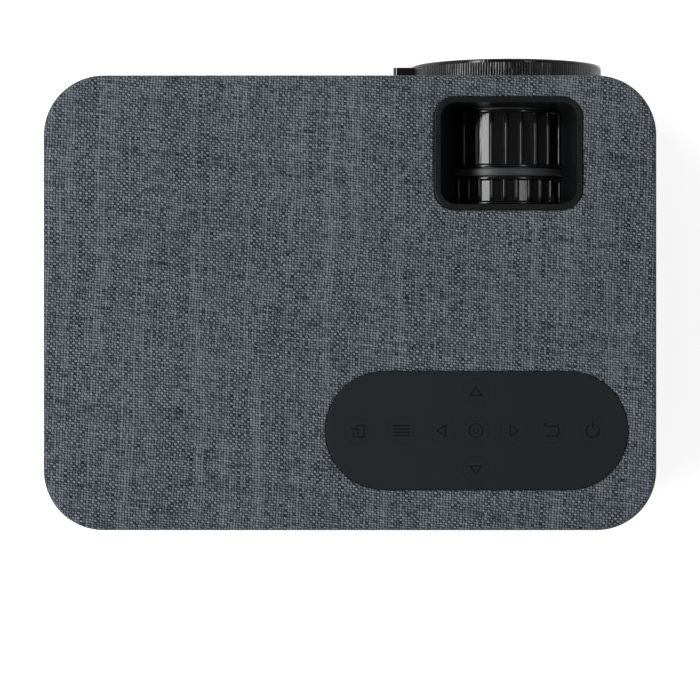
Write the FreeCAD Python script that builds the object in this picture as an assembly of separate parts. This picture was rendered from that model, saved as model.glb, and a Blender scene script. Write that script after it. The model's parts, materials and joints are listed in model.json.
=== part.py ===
import FreeCAD, Part
import math
import os

os.makedirs("parts", exist_ok=True)

# Table-top video projector with a tray-type disc drive in its side.
# Millimetres, +Z up. The feet stand on z = 0, the lens looks along -Y, and the origin is
# below the middle of the whole outline. The lens is in the -X half, the disc drive in the +X half.

# ---------------------------------------------------------------- driving dimensions
# Housing
body_width = 260.0
body_depth = 193.0
body_height = 98.0
body_corner_radius = 25.5
foot_height = 4.0
wall = 2.5
floor_thickness = 2.5
base_edge_radius = 2.0
cloth_thickness = 1.0
cloth_edge_radius = 2.5
cloth_drop = 7.0
tub_inset = 0.4
deck_thickness = 2.5
skirt_thickness = 2.4
lip_thickness = 1.6
lip_height = 3.0
deck_rib_height = 3.0
deck_rib_thickness = 1.6
deck_rib_pitch = 24.0
seat_gap = 0.15
free_gap = 0.3
pin_gap = 0.06

# Screws that close the housing
screw_inset_x = 22.0
screw_inset_y = 20.0
screw_radius = 1.5
screw_length = 12.0
screw_head_radius = 2.8
screw_head_height = 1.8
screw_seat_height = 3.4
boss_radius = 4.5
boss_height = 6.0
pillar_radius = 4.0

# Rubber feet, screw-adjusted front foot and tripod socket
foot_radius = 8.0
foot_tip_radius = 7.0
foot_recess = 1.2
foot_inset_x = 42.0
foot_inset_y = 18.0
stud_radius = 3.0
stud_length = 20.0
stud_boss_radius = 6.5
stud_inset_y = 20.0
knob_radius = 10.0
knob_height = 3.0
knob_scallops = 12
tripod_thread_radius = 3.1
tripod_insert_radius = 6.0
tripod_insert_length = 10.0
tripod_boss_wall = 3.0

# Lens ring and receiver window on the front
lens_side_inset = 61.5
lens_rise = 0.5
ring_top_gap = 1.0
ring_protrusion = 7.8
ring_edge = 1.0
ring_lip_width = 3.0
ring_throat_depth = 11.5
ring_shoulder = 6.0
ring_tail = 2.0
window_protrusion = 6.8
window_width = 7.6
window_height = 22.0
window_corner_radius = 2.0

# Lens wheels; every "setback" is a distance behind the front of the body
wheel_radius = 32.0
wheel_rib_height = 1.1
wheel_flange_width = 0.9
focus_ribs = 30
focus_setback = 13.2
focus_width = 24.5
keystone_ribs = 36
keystone_width = 11.6
collar_width = 3.4
collar_radius = 32.3
shoulder_radius = 30.6
retainer_width = 1.4
ring_side_gap = 0.5
rib_share = 0.74
flange_proud = 0.3

# Lens sleeve, tilting carrier, sliding barrel and glass
sleeve_outer_radius = 29.4
sleeve_inner_radius = 27.0
mount_foot_height = 3.5
mount_flange_thickness = 3.0
mount_flange_setback = 3.0
mount_corner_radius = 5.0
carrier_outer_radius = 25.2
barrel_outer_radius = 23.0
barrel_wall = 2.2
barrel_length = 36.0
barrel_setback = 9.0
carrier_length = 32.0
trunnion_radius = 2.0
trunnion_setback = 5.0
glass_edge = 3.0
glass_bulge = 3.0
glass_recess = 3.0

# Wheel window in the deck
well_width = 62.9
well_depth = 48.0
well_corner_radius = 9.0
well_offset_x = 1.4
well_setback = 33.2
well_rim_width = 2.4
well_rim_proud = 0.6
well_rim_round = 0.6
well_wall = 1.4
wheel_rise = 8.0
slot_corner_radius = 3.0
slot_side_gap = 1.15
slot_gap = 0.7

# Key panel
panel_width = 129.6
panel_depth = 51.0
panel_side_inset = 76.3
panel_back_inset = 42.3
panel_proud = 0.3
panel_flange = 1.2
panel_thickness = 2.0
panel_edge = 0.3
panel_skirt = 1.2
panel_skirt_depth = 5.9
key_radius = 5.5
key_gap = 0.15
key_flange = 0.7
key_flange_thickness = 0.9
key_stem_radius = 1.6
key_travel = 0.4
key_row_offset = {"source": 50.3, "menu": 32.0, "left": 14.6, "select": 0.4,
                  "right": -15.5, "back": -31.3, "power": -49.1}
key_column_offset = {"up": -16.4, "down": 16.4}
dome_radius = 2.6
dome_height = 0.3
overlap = 0.5
board_thickness = 1.6

# Grilles and rear panel
plate_flange = 2.0
plate_flange_thickness = 1.5
side_grille_width = 104.0
side_grille_height = 54.0
grille_corner_radius = 8.0
louvre_pitch = 5.4
louvre_thickness = 1.6
louvre_tilt = 35.0
grille_border = 4.0
speaker_grille_width = 86.0
speaker_grille_height = 44.0
speaker_side_inset = 72.0
speaker_slot_width = 2.6
speaker_slot_pitch = 5.2
speaker_radius = 21.0
speaker_depth = 19.0
speaker_rim_width = 2.0
speaker_rim_depth = 2.0
speaker_cone_depth = 4.0
speaker_dome_radius = 7.0
speaker_magnet_radius = 12.0
speaker_magnet_depth = 8.0
rear_panel_side_border = 28.0
rear_panel_border = 16.0
rear_panel_corner_radius = 6.0
rear_panel_drop = 2.0
exhaust_slot_height = 3.6
exhaust_slot_pitch = 6.4

# Light path behind the lens
tunnel_wall = 2.0
gate_width = 96.0
gate_height = 68.0
gate_length = 18.0
gate_corner_radius = 1.0
gate_place = 0.567
lamp_block_size = 56.0
lamp_block_length = 8.0
lamp_bore_radius = 20.0
cone_mouth_size = 62.0
fresnel_thickness = 2.0
lcd_thickness = 3.0
lcd_border = 6.0
lcd_glass_depth = 0.6
lamp_board_size = 60.0
lamp_chip_size = 13.0
lamp_chip_height = 1.3
condenser_thickness = 5.0
sink_size = 70.0
sink_depth = 20.0
sink_base = 5.0
sink_fins = 12
sink_fin_thickness = 1.3

# Exhaust fan
fan_size = 70.0
fan_depth = 15.0
fan_corner_radius = 5.0
fan_bore_radius = 32.5
fan_hub_radius = 13.5
fan_blade_radius = 31.3
fan_blades = 7
fan_blade_pitch_angle = 38.0
fan_blade_thickness = 1.4
fan_strut_width = 3.0
fan_strut_depth = 2.0
fan_shaft_radius = 1.5

# Circuit boards and sockets; a socket's size is its width, height and depth
board_top = 20.0
board_side_gap = 8.5
board_pitch_gap = 8.0
board_boss_gap = 1.5
standoff_radius = 2.8
standoff_inset = 4.0
main_board_length = 86.0
power_board_width = 36.0
power_board_length = 106.0
socket_recess = 0.5
hdmi_size = (15.2, 5.8, 12.0)
usb_size = (14.4, 7.0, 14.0)
jack_size = (10.0, 8.0, 11.0)
inlet_size = (21.0, 12.0, 20.0)
shell_wall = 0.6
shell_corner_radius = 0.8
hdmi_tongue_thickness = 1.0
usb_tongue_thickness = 1.8
usb_tongue_inset = 1.5
tongue_recess = 1.0
jack_bore_radius = 1.8
jack_nose_radius = 3.4
inlet_wall = 1.4
inlet_back_wall = 3.0
inlet_corner = 5.0
inlet_pin_radius = 1.2
inlet_pin_pitch = 8.6
inlet_pin_recess = 3.0

# Parts on the boards: the processor with its heat sink, capacitors, memory, coil core, fuse
drive_headroom = 20.0
part_headroom = 4.0
chip_sink_size = 24.0
chip_sink_base = 3.0
chip_sink_height = 9.0
chip_sink_fins = 6
chip_sink_fin = 1.2
board_cap_radius = 3.0
board_cap_height = 8.0
board_cap_pitch = 9.0
memory_size = (12.0, 10.0, 1.2)
memory_pitch = 22.0
core_size = (24.0, 20.0, 15.0)
core_corner_radius = 2.0
bulk_cap_radius = 6.0
bulk_cap_pitch = 14.0
coil_radius = 8.0
coil_height = 7.0
fuse_size = (6.0, 20.0, 6.0)

# Disc drive
drive_width = 128.0
drive_depth = 126.0
drive_height = 12.7
drive_sheet = 0.8
drive_post_radius = 3.2
drive_post_inset = 5.0
cover_step = 15.0
cover_side_step = 12.0
cover_corner_radius = 10.0
tray_flange_height = 4.4
tray_floor_gap = 0.6
tray_cover_gap = 1.3
rail_thickness = 3.0
rail_length = 118.0
rail_back_gap = 4.0
rail_groove_end = 3.0
rail_groove_depth = 1.0
rail_groove_height = 1.4
rail_groove_drop = 1.2
disc_radius = 60.0
disc_rim_gap = 0.6
recess_depth = 2.2
tray_web = 1.8
tray_pan = 0.6
tray_wall = 2.5
spindle_setback = 62.4
bay_radius = 15.5
bay_half_width = 24.0
bay_wall = 2.0
bay_front_wall = 2.0
fascia_thickness = 3.0
fascia_width = 129.0
fascia_height = 13.4
fascia_recess = 0.2
fascia_gap = 0.5
fascia_corner_radius = 1.0
eject_width = 10.0
eject_height = 5.0
eject_y_offset = 38.0
eject_depth = 2.0
eject_proud = 0.2
eject_corner_radius = 1.0
hatch_radius = 0.8
motor_radius = 11.0
motor_flange_thickness = 1.0
motor_height = 4.6
spindle_radius = 1.2
turntable_radius = 13.5
turntable_thickness = 1.2
turntable_boss_radius = 7.4
turntable_boss_taper = 0.8
turntable_boss_height = 1.4
turntable_catches = 3
catch_radius = 1.0
catch_proud = 0.3
rod_radius = 1.2
rod_offset = 14.5
screw_offset = 20.0
lead_screw_radius = 1.6
rod_height = 45.6
rod_seat = 2.5
sled_length = 13.0
sled_height = 4.0
sled_half_width = 17.5
sled_start = 14.0
sled_corner_radius = 2.0
sled_arm_inset = 3.0
sled_arm_wall = 1.0
rod_end_gap = 0.2
objective_radius = 3.2
objective_height = 0.9
objective_edge = 1.2
objective_rim = 1.0
objective_recess = 0.4

# ---------------------------------------------------------------- places worked out from them
center_y = window_protrusion / 2
front_y = center_y - body_depth / 2
back_y = center_y + body_depth / 2
side_x = body_width / 2
tub_width = body_width - 2 * tub_inset
tub_depth = body_depth - 2 * tub_inset
tub_corner_radius = body_corner_radius - tub_inset
tub_side_x = side_x - tub_inset
tub_front_y = front_y + tub_inset
tub_back_y = back_y - tub_inset
inner_side_x = tub_side_x - wall
inner_front_y = tub_front_y + wall
inner_back_y = tub_back_y - wall
floor_top = foot_height + floor_thickness
split_z = body_height - cloth_drop
deck_z = body_height - cloth_thickness
deck_under = deck_z - deck_thickness
ring_front_y = front_y - ring_protrusion
window_front_y = front_y - window_protrusion

lens_x = lens_side_inset - side_x
optical_height = (foot_height + split_z) / 2 + lens_rise
ring_radius = split_z - ring_top_gap - optical_height
ring_barrel_radius = ring_radius - ring_shoulder
ring_throat_radius = ring_radius - ring_throat_depth
mount_flange_size = 2 * (optical_height - floor_top - mount_foot_height)
focus_front_y = front_y + focus_setback
focus_back_y = focus_front_y + focus_width
collar_front_y = focus_back_y + ring_side_gap
collar_back_y = collar_front_y + collar_width
keystone_front_y = collar_back_y + ring_side_gap
keystone_back_y = keystone_front_y + keystone_width
mount_back_y = keystone_back_y + mount_flange_setback + mount_flange_thickness
sleeve_front_y = focus_front_y - ring_side_gap - retainer_width
carrier_back_y = mount_back_y - mount_flange_setback
carrier_front_y = carrier_back_y - carrier_length
trunnion_y = carrier_back_y - trunnion_setback - trunnion_radius
barrel_front_y = front_y + barrel_setback
carrier_inner_radius = barrel_outer_radius + pin_gap
barrel_inner_radius = barrel_outer_radius - barrel_wall

fan_back_y = inner_back_y - plate_flange_thickness - seat_gap
fan_front_y = fan_back_y - fan_depth
sink_back_y = fan_front_y - seat_gap
sink_front_y = sink_back_y - sink_depth
lamp_front_y = sink_front_y - board_thickness
lamp_block_y = lamp_front_y - lamp_block_length
gate_front_y = mount_back_y + gate_place * (lamp_block_y - mount_back_y - gate_length)
gate_back_y = gate_front_y + gate_length

well_top = body_height + well_rim_proud
well_bottom = optical_height + wheel_radius - wheel_rise
well_center_x = lens_x + well_offset_x
well_center_y = front_y + well_setback
slot_chord = math.sqrt((wheel_radius + flange_proud) ** 2 - (wheel_radius - wheel_rise) ** 2)
slot_width = 2 * (slot_chord + slot_side_gap)
slot_front_y = focus_front_y - slot_gap
slot_back_y = keystone_back_y + slot_gap
panel_center_x = panel_side_inset - side_x
panel_center_y = back_y - panel_back_inset
panel_top = body_height + panel_proud
panel_under = panel_top - panel_thickness
panel_skirt_bottom = panel_top - panel_skirt_depth

fascia_back_x = tub_side_x - fascia_recess - fascia_thickness
drive_front_x = fascia_back_x - free_gap
drive_back_x = drive_front_x - drive_depth
drive_bottom = board_top + drive_headroom
drive_top = drive_bottom + drive_height
cover_under = drive_top - drive_sheet
tray_back_x = drive_back_x + drive_sheet + free_gap
tray_bottom = drive_bottom + drive_sheet + tray_floor_gap
tray_top = cover_under - tray_cover_gap
tray_step = tray_top - tray_flange_height
tray_half_width = drive_width / 2 - drive_sheet - free_gap
rail_outer = tray_half_width
rail_inner = rail_outer - rail_thickness
tray_low_half_width = rail_inner - free_gap
spindle_x = fascia_back_x - spindle_setback
recess_floor = tray_top - recess_depth
bay_front_x = fascia_back_x - bay_front_wall
sled_back_x = spindle_x + sled_start
drive_center_z = drive_bottom + drive_height / 2
main_board_back = inner_back_y - plate_flange_thickness - seat_gap
rear_panel_z = optical_height - rear_panel_drop
rear_panel_width = body_width - 2 * rear_panel_side_border
rear_panel_height = body_height - 2 * rear_panel_border
speaker_x = side_x - speaker_side_inset


# ---------------------------------------------------------------- shape helpers
def vec(x, y, z):
    return FreeCAD.Vector(x, y, z)


def block(x0, x1, y0, y1, z0, z1):
    return Part.makeBox(x1 - x0, y1 - y0, z1 - z0, vec(x0, y0, z0))


def rod_x(radius, x0, x1, y, z):
    return Part.makeCylinder(radius, x1 - x0, vec(x0, y, z), vec(1, 0, 0))


def rod_y(radius, y0, y1, x=lens_x, z=optical_height):
    return Part.makeCylinder(radius, y1 - y0, vec(x, y0, z), vec(0, 1, 0))


def rod_z(radius, z0, z1, x, y):
    return Part.makeCylinder(radius, z1 - z0, vec(x, y, z0), vec(0, 0, 1))


def tube_y(outer, inner, y0, y1, x=lens_x, z=optical_height):
    return rod_y(outer, y0, y1, x, z).cut(rod_y(inner, y0 - 1, y1 + 1, x, z))


def rounded_wire(width, depth, radius, x, y, z):
    """Rounded rectangle lying flat; a radius of half its depth makes an oval."""
    a = width / 2 - radius
    b = depth / 2 - radius
    arcs = []
    for px, py, start in ((a, b, 0), (-a, b, 90), (-a, -b, 180), (a, -b, 270)):
        angles = [math.radians(start + turn) for turn in (0, 45, 90)]
        arcs.append([vec(x + px + radius * math.cos(t), y + py + radius * math.sin(t), z) for t in angles])
    edges = []
    for here, after in zip(arcs, arcs[1:] + arcs[:1]):
        edges.append(Part.Arc(*here).toShape())
        if here[2].distanceToPoint(after[0]) > 1e-6:
            edges.append(Part.LineSegment(here[2], after[0]).toShape())
    return Part.Wire(edges)


def rounded_z(width, depth, radius, z0, z1, x, y):
    return Part.Face(rounded_wire(width, depth, radius, x, y, z0)).extrude(vec(0, 0, z1 - z0))


def rounded_y(width, height, radius, y0, y1, x, z):
    """Rounded rectangle standing across the Y axis, from y0 to y1."""
    shape = rounded_z(width, height, radius, 0, y1 - y0, 0, 0)
    shape.rotate(vec(0, 0, 0), vec(1, 0, 0), 90)
    shape.translate(vec(x, y1, z))
    return shape


def rounded_x(width, height, radius, x0, x1, y, z):
    """Rounded rectangle standing across the X axis; its width runs along Y."""
    shape = rounded_z(width, height, radius, 0, x1 - x0, 0, 0)
    shape.rotate(vec(0, 0, 0), vec(1, 1, 1), 120)
    shape.translate(vec(x0, y, z))
    return shape


def turned_y(profile, x=lens_x, z=optical_height):
    """Solid of revolution about the Y axis from (y, radius) corners."""
    points = [vec(r, y, 0) for y, r in profile]
    face = Part.Face(Part.makePolygon(points + points[:1]))
    shape = face.revolve(vec(0, 0, 0), vec(0, 1, 0), 360)
    shape.translate(vec(x, 0, z))
    return shape


def joined(shapes):
    return shapes[0].fuse(shapes[1:]).removeSplitter()


def carved(shape, tools):
    return shape.cut(tools)


def edges_at(shape, z):
    return [e for e in shape.Edges if abs(e.BoundBox.ZMin - z) < 1e-4 and abs(e.BoundBox.ZMax - z) < 1e-4]


def save(node, *shapes):
    solids = [solid for shape in shapes for solid in shape.Solids]
    whole = solids[0] if len(solids) == 1 else Part.makeCompound(solids)
    whole.exportStep("parts/" + node + ".step")


def corner_places(inset_x, inset_y):
    """Four places set in from the sides of the body."""
    x = side_x - inset_x
    y = body_depth / 2 - inset_y
    return [(sx * x, center_y + sy * y) for sx in (-1, 1) for sy in (-1, 1)]


# ---------------------------------------------------------------- housing
screw_places = corner_places(screw_inset_x, screw_inset_y)
foot_places = corner_places(foot_inset_x, foot_inset_y)
stud_y = front_y + stud_inset_y
board_bottom = board_top - board_thickness
main_board_x = lens_x + gate_width / 2 + tunnel_wall + board_side_gap
power_board_x = side_x - screw_inset_x - boss_radius - board_boss_gap - power_board_width
main_board_width = power_board_x - board_pitch_gap - main_board_x
main_board_y = main_board_back - main_board_length
power_board_y = main_board_back - power_board_length
drive_post_x = (drive_back_x + drive_post_inset, drive_front_x - drive_post_inset)
drive_post_y = (center_y - drive_width / 2 + drive_post_inset, center_y + drive_width / 2 - drive_post_inset)
drive_posts = [(drive_post_x[0], drive_post_y[0]), (drive_post_x[1], drive_post_y[0]),
               ((main_board_x + main_board_width + power_board_x) / 2, drive_post_y[1]),
               (drive_post_x[1], drive_post_y[1])]


def standoffs(x, y, width, length):
    places = [(x + a, y + b) for a in (standoff_inset, width - standoff_inset)
              for b in (standoff_inset, length - standoff_inset)]
    return [rod_z(standoff_radius, floor_top - 1, board_bottom, px, py) for px, py in places]


def support(width, y0, y1, top, x=lens_x):
    """Rib that stands on the floor under a heavy piece."""
    return block(x - width / 2, x + width / 2, y0, y1, floor_top - 1, top)


def panel_opening_y(width, height, radius, x, z, front):
    y0, y1 = (tub_front_y - 1, inner_front_y + 1) if front else (inner_back_y - 1, tub_back_y + 1)
    return rounded_y(width, height, radius, y0, y1, x, z)


def make_bottom_shell():
    outer = rounded_z(tub_width, tub_depth, tub_corner_radius, foot_height, split_z, 0, center_y)
    outer = outer.makeFillet(base_edge_radius, edges_at(outer, foot_height))
    hollow = rounded_z(tub_width - 2 * wall, tub_depth - 2 * wall, tub_corner_radius - wall,
                       floor_top, split_z + 1, 0, center_y)
    tub = outer.cut(hollow)
    half_mount = mount_flange_size / 2
    gate_bottom = optical_height - gate_height / 2 - tunnel_wall
    growths = [rod_z(boss_radius, floor_top - 1, floor_top + boss_height, x, y) for x, y in screw_places]
    growths += [rod_z(drive_post_radius, floor_top - 1, drive_bottom, x, y) for x, y in drive_posts]
    growths += standoffs(main_board_x, main_board_y, main_board_width, main_board_length)
    growths += standoffs(power_board_x, power_board_y, power_board_width, power_board_length)
    growths.append(rod_z(stud_boss_radius, floor_top - 1, foot_height + stud_length, 0, stud_y))
    growths.append(rod_z(tripod_insert_radius + tripod_boss_wall, floor_top - 1,
                         foot_height + tripod_insert_length + floor_thickness, 0, center_y))
    growths.append(support(mount_flange_size / 2, mount_back_y - mount_flange_thickness, mount_back_y,
                           optical_height - half_mount))
    growths.append(support(gate_width / 2, gate_front_y, gate_back_y, gate_bottom))
    growths.append(support(fan_size / 2, fan_front_y, fan_back_y, optical_height - fan_size / 2))
    tub = joined([tub] + growths)
    cuts = [rod_y(ring_barrel_radius + seat_gap, tub_front_y - 1, inner_front_y + 1)]
    cuts.append(panel_opening_y(speaker_grille_width, speaker_grille_height, speaker_grille_height / 2,
                                speaker_x, optical_height, True))
    cuts.append(panel_opening_y(rear_panel_width, rear_panel_height, rear_panel_corner_radius,
                                0, rear_panel_z, False))
    cuts.append(rounded_x(side_grille_width, side_grille_height, grille_corner_radius,
                          -tub_side_x - 1, -inner_side_x + 1, center_y, optical_height))
    cuts.append(rounded_x(fascia_width + 2 * fascia_gap, fascia_height + 2 * fascia_gap,
                          fascia_corner_radius + fascia_gap, inner_side_x - 1, tub_side_x + 1,
                          center_y, drive_center_z))
    for x, y in screw_places:
        cuts.append(rod_z(screw_radius + seat_gap, foot_height - 1, floor_top + boss_height + 1, x, y))
        cuts.append(rod_z(screw_head_radius + free_gap, foot_height - 1, foot_height + screw_seat_height, x, y))
    for x, y in foot_places:
        cuts.append(rod_z(foot_radius + seat_gap, foot_height - 1, foot_height + foot_recess, x, y))
    cuts.append(rod_z(stud_radius + pin_gap, foot_height - 1, foot_height + stud_length + 1, 0, stud_y))
    cuts.append(rod_z(tripod_insert_radius + pin_gap, foot_height - 1,
                      foot_height + tripod_insert_length, 0, center_y))
    save("bottom_shell", carved(tub, cuts))


def well_opening(z0, z1, grow):
    return rounded_z(well_width + 2 * grow, well_depth + 2 * grow, well_corner_radius + grow,
                     z0, z1, well_center_x, well_center_y)


def oval(grow, z0, z1):
    return rounded_z(panel_width + 2 * grow, panel_depth + 2 * grow, panel_depth / 2 + grow,
                     z0, z1, panel_center_x, panel_center_y)


def deck_prism(inset, z0, z1):
    return rounded_z(body_width - 2 * inset, body_depth - 2 * inset, body_corner_radius - inset,
                     z0, z1, 0, center_y)


def softened_deck(inset, z0, z1):
    shape = deck_prism(inset, z0, z1)
    return shape.makeFillet(cloth_edge_radius - inset, edges_at(shape, z1))


def make_top_cover():
    cover = softened_deck(cloth_thickness, split_z, deck_z)
    cover = cover.cut(deck_prism(cloth_thickness + skirt_thickness, split_z - 1, deck_under))
    lip_inset = tub_inset + wall + seat_gap
    lip = deck_prism(lip_inset, split_z - lip_height, deck_under + 1)
    lip = lip.cut(deck_prism(lip_inset + lip_thickness, split_z - lip_height - 1, deck_under + 2))
    pillar_bottom = floor_top + boss_height
    growths = [rod_z(pillar_radius, pillar_bottom, deck_under + 1, x, y) for x, y in screw_places]
    rib_x = panel_center_x + panel_width / 2 + deck_rib_pitch / 2
    rib_end = body_depth / 2 - lip_inset - lip_thickness / 2
    while rib_x < side_x - screw_inset_x - pillar_radius:
        growths.append(block(rib_x, rib_x + deck_rib_thickness, center_y - rib_end, center_y + rib_end,
                             deck_under - deck_rib_height, deck_under + 1))
        rib_x += deck_rib_pitch
    cover = joined([cover, lip] + growths)
    cuts = [well_opening(split_z - lip_height - 1, deck_z + 1, seat_gap + well_wall - well_rim_width)]
    cuts.append(oval(seat_gap - panel_flange, split_z - lip_height - 1, deck_z + 1))
    for x, y in screw_places:
        cuts.append(rod_z(screw_radius + pin_gap, pillar_bottom - 1, pillar_bottom + screw_length, x, y))
    save("top_cover", carved(cover, cuts))


def make_fabric_skin():
    skin = softened_deck(0, split_z, body_height)
    skin = skin.cut(softened_deck(cloth_thickness, split_z - 1, deck_z))
    openings = [well_opening(split_z, body_height + 1, seat_gap), oval(seat_gap, split_z, body_height + 1)]
    save("fabric_skin", carved(skin, openings))


def make_wheel_well():
    """Funnel-shaped surround: a rounded rim over the cloth and walls that close in on the wheel slot."""
    rim = well_opening(deck_z, well_top, 0)
    rim = rim.makeFillet(well_rim_round, edges_at(rim, well_top))
    slot_depth = slot_back_y - slot_front_y
    slot_center_y = (slot_front_y + slot_back_y) / 2
    mouth_width = well_width - 2 * well_rim_width
    mouth_depth = well_depth - 2 * well_rim_width
    mouth_corner = well_corner_radius - well_rim_width
    funnels = []
    for grow, top, bottom in ((well_wall, deck_z, well_bottom), (0, well_top + 1, well_bottom - 1)):
        upper = rounded_wire(mouth_width + 2 * grow, mouth_depth + 2 * grow, mouth_corner + grow,
                             well_center_x, well_center_y, top)
        lower = rounded_wire(slot_width + 2 * grow, slot_depth + 2 * grow, slot_corner_radius + grow,
                             lens_x, slot_center_y, bottom)
        funnels.append(Part.makeLoft([upper, lower], True, True))
    sleeve_arch = rod_y(shoulder_radius + free_gap, well_center_y - well_depth, well_center_y + well_depth)
    save("wheel_well", carved(joined([rim, funnels[0]]), [funnels[1], sleeve_arch]))


def make_case_screws():
    seat = foot_height + screw_seat_height
    screws = []
    for x, y in screw_places:
        head = rod_z(screw_head_radius, seat - screw_head_height, seat, x, y)
        head = head.cut(rod_z(screw_radius, seat - screw_head_height - 1, seat - screw_head_height / 2, x, y))
        shank = rod_z(screw_radius, seat - screw_head_height / 4, seat + screw_length, x, y)
        screws.append(joined([head, shank]))
    save("case_screws", *screws)


def make_feet():
    pads = []
    for x, y in foot_places:
        pad = Part.makeCone(foot_tip_radius, foot_radius, foot_height, vec(x, y, 0))
        pads.append(joined([pad, rod_z(foot_radius, foot_height, foot_height + foot_recess, x, y)]))
    save("rubber_feet", *pads)
    insert = rod_z(tripod_insert_radius, foot_height, foot_height + tripod_insert_length, 0, center_y)
    thread = rod_z(tripod_thread_radius, foot_height - 1, foot_height + tripod_insert_length + 1, 0, center_y)
    save("tripod_insert", insert.cut(thread))


def make_front_foot():
    """Screw-adjusted foot: a stud in the housing boss and a scalloped knob with its tread on the stud."""
    knob_top = foot_height - free_gap
    knob_bottom = knob_top - knob_height
    stud_bottom = knob_bottom + knob_height / 3
    save("foot_stud", rod_z(stud_radius, stud_bottom, stud_bottom + stud_length, 0, stud_y))
    knob = rod_z(knob_radius, knob_bottom, knob_top, 0, stud_y)
    knob = knob.makeChamfer(knob_height / 6, edges_at(knob, knob_bottom))
    scallop_radius = knob_radius * math.pi / knob_scallops / 2
    cuts = [rod_z(stud_radius + pin_gap, stud_bottom - pin_gap, knob_top + 1, 0, stud_y)]
    for i in range(knob_scallops):
        turn = 2 * math.pi * i / knob_scallops
        reach = knob_radius + scallop_radius / 2
        cuts.append(rod_z(scallop_radius, knob_bottom - 1, knob_top + 1,
                          reach * math.cos(turn), stud_y + reach * math.sin(turn)))
    save("foot_knob", carved(knob, cuts))


# ---------------------------------------------------------------- lens
def make_lens_ring():
    tail_y = inner_front_y + ring_tail
    profile = [(ring_front_y + ring_edge, ring_radius), (ring_front_y, ring_radius - ring_edge),
               (ring_front_y, ring_radius - ring_lip_width),
               (ring_front_y + ring_edge, ring_radius - ring_lip_width - ring_edge),
               (tail_y, ring_throat_radius), (tail_y, ring_barrel_radius),
               (tub_front_y, ring_barrel_radius), (tub_front_y, ring_radius)]
    save("lens_ring", turned_y(profile))


def make_receiver_window():
    near_x = lens_x + ring_radius - ring_lip_width
    far_x = lens_x + ring_radius + window_width
    window = rounded_y(far_x - near_x, window_height, window_corner_radius, window_front_y, tub_front_y,
                       (near_x + far_x) / 2, optical_height)
    save("receiver_window", window.cut(rod_y(ring_radius + seat_gap, window_front_y - 1, tub_front_y + 1)))


def ribbed_ring(ribs, y0, y1):
    """Finger wheel: rounded ribs along its rim and a thin smooth flange at each end."""
    root = wheel_radius - wheel_rib_height
    pitch = 2 * math.pi / ribs
    edges = []
    for i in range(ribs):
        start = pitch * (i - rib_share / 2)
        places = [(start, root), (pitch * i, wheel_radius), (start + pitch * rib_share, root),
                  (start + pitch, root)]
        a, b, c, d = [vec(r * math.cos(t), 0, r * math.sin(t)) for t, r in places]
        edges.append(Part.Arc(a, b, c).toShape())
        edges.append(Part.LineSegment(c, d).toShape())
    ribbed = Part.Face(Part.Wire(edges)).extrude(vec(0, y1 - y0, 0))
    ribbed.translate(vec(lens_x, y0, optical_height))
    flanges = [rod_y(wheel_radius + flange_proud, y, y + wheel_flange_width)
               for y in (y0, y1 - wheel_flange_width)]
    ring = joined([ribbed] + flanges)
    return ring.cut(rod_y(sleeve_outer_radius + pin_gap, y0 - 1, y1 + 1))


def make_wheels():
    save("focus_ring", ribbed_ring(focus_ribs, focus_front_y, focus_back_y))
    save("keystone_ring", ribbed_ring(keystone_ribs, keystone_front_y, keystone_back_y))
    save("lens_collars", tube_y(shoulder_radius, sleeve_outer_radius, sleeve_front_y,
                                sleeve_front_y + retainer_width),
         tube_y(collar_radius, sleeve_outer_radius, collar_front_y, collar_back_y))


def make_lens_mount():
    """Fixed sleeve on a square flange, with a shoulder behind the keystone wheel and two trunnion bores."""
    flange_y = mount_back_y - mount_flange_thickness
    sleeve = rod_y(sleeve_outer_radius, sleeve_front_y, mount_back_y)
    shoulder = rod_y(shoulder_radius, keystone_back_y + ring_side_gap, flange_y + 1)
    flange = rounded_y(mount_flange_size, mount_flange_size, mount_corner_radius, flange_y, mount_back_y,
                       lens_x, optical_height)
    bore = rod_y(sleeve_inner_radius, sleeve_front_y - 1, mount_back_y + 1)
    pins = rod_x(trunnion_radius + pin_gap, lens_x - wheel_radius, lens_x + wheel_radius,
                 trunnion_y, optical_height)
    save("lens_mount", carved(joined([sleeve, shoulder, flange]), [bore, pins]))


def make_carrier_and_barrel():
    carrier = tube_y(carrier_outer_radius, carrier_inner_radius, carrier_front_y, carrier_back_y)
    reach = sleeve_outer_radius - free_gap
    pins = rod_x(trunnion_radius, lens_x - reach, lens_x + reach, trunnion_y, optical_height)
    pins = pins.cut(rod_y(carrier_inner_radius, carrier_front_y, carrier_back_y))
    save("lens_carrier", joined([carrier, pins]))
    barrel_back_y = barrel_front_y + barrel_length
    profile = [(barrel_front_y, barrel_outer_radius), (barrel_front_y, barrel_inner_radius + ring_edge),
               (barrel_front_y + glass_recess - 1, barrel_inner_radius), (barrel_back_y, barrel_inner_radius),
               (barrel_back_y, barrel_outer_radius)]
    save("lens_barrel", turned_y(profile))
    front_mid = barrel_front_y + glass_recess + glass_bulge
    save("front_glass", convex_glass(front_mid, glass_bulge, glass_bulge / 2))
    save("rear_glass", convex_glass(barrel_back_y - glass_recess - glass_bulge, glass_bulge / 2, glass_bulge))


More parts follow.
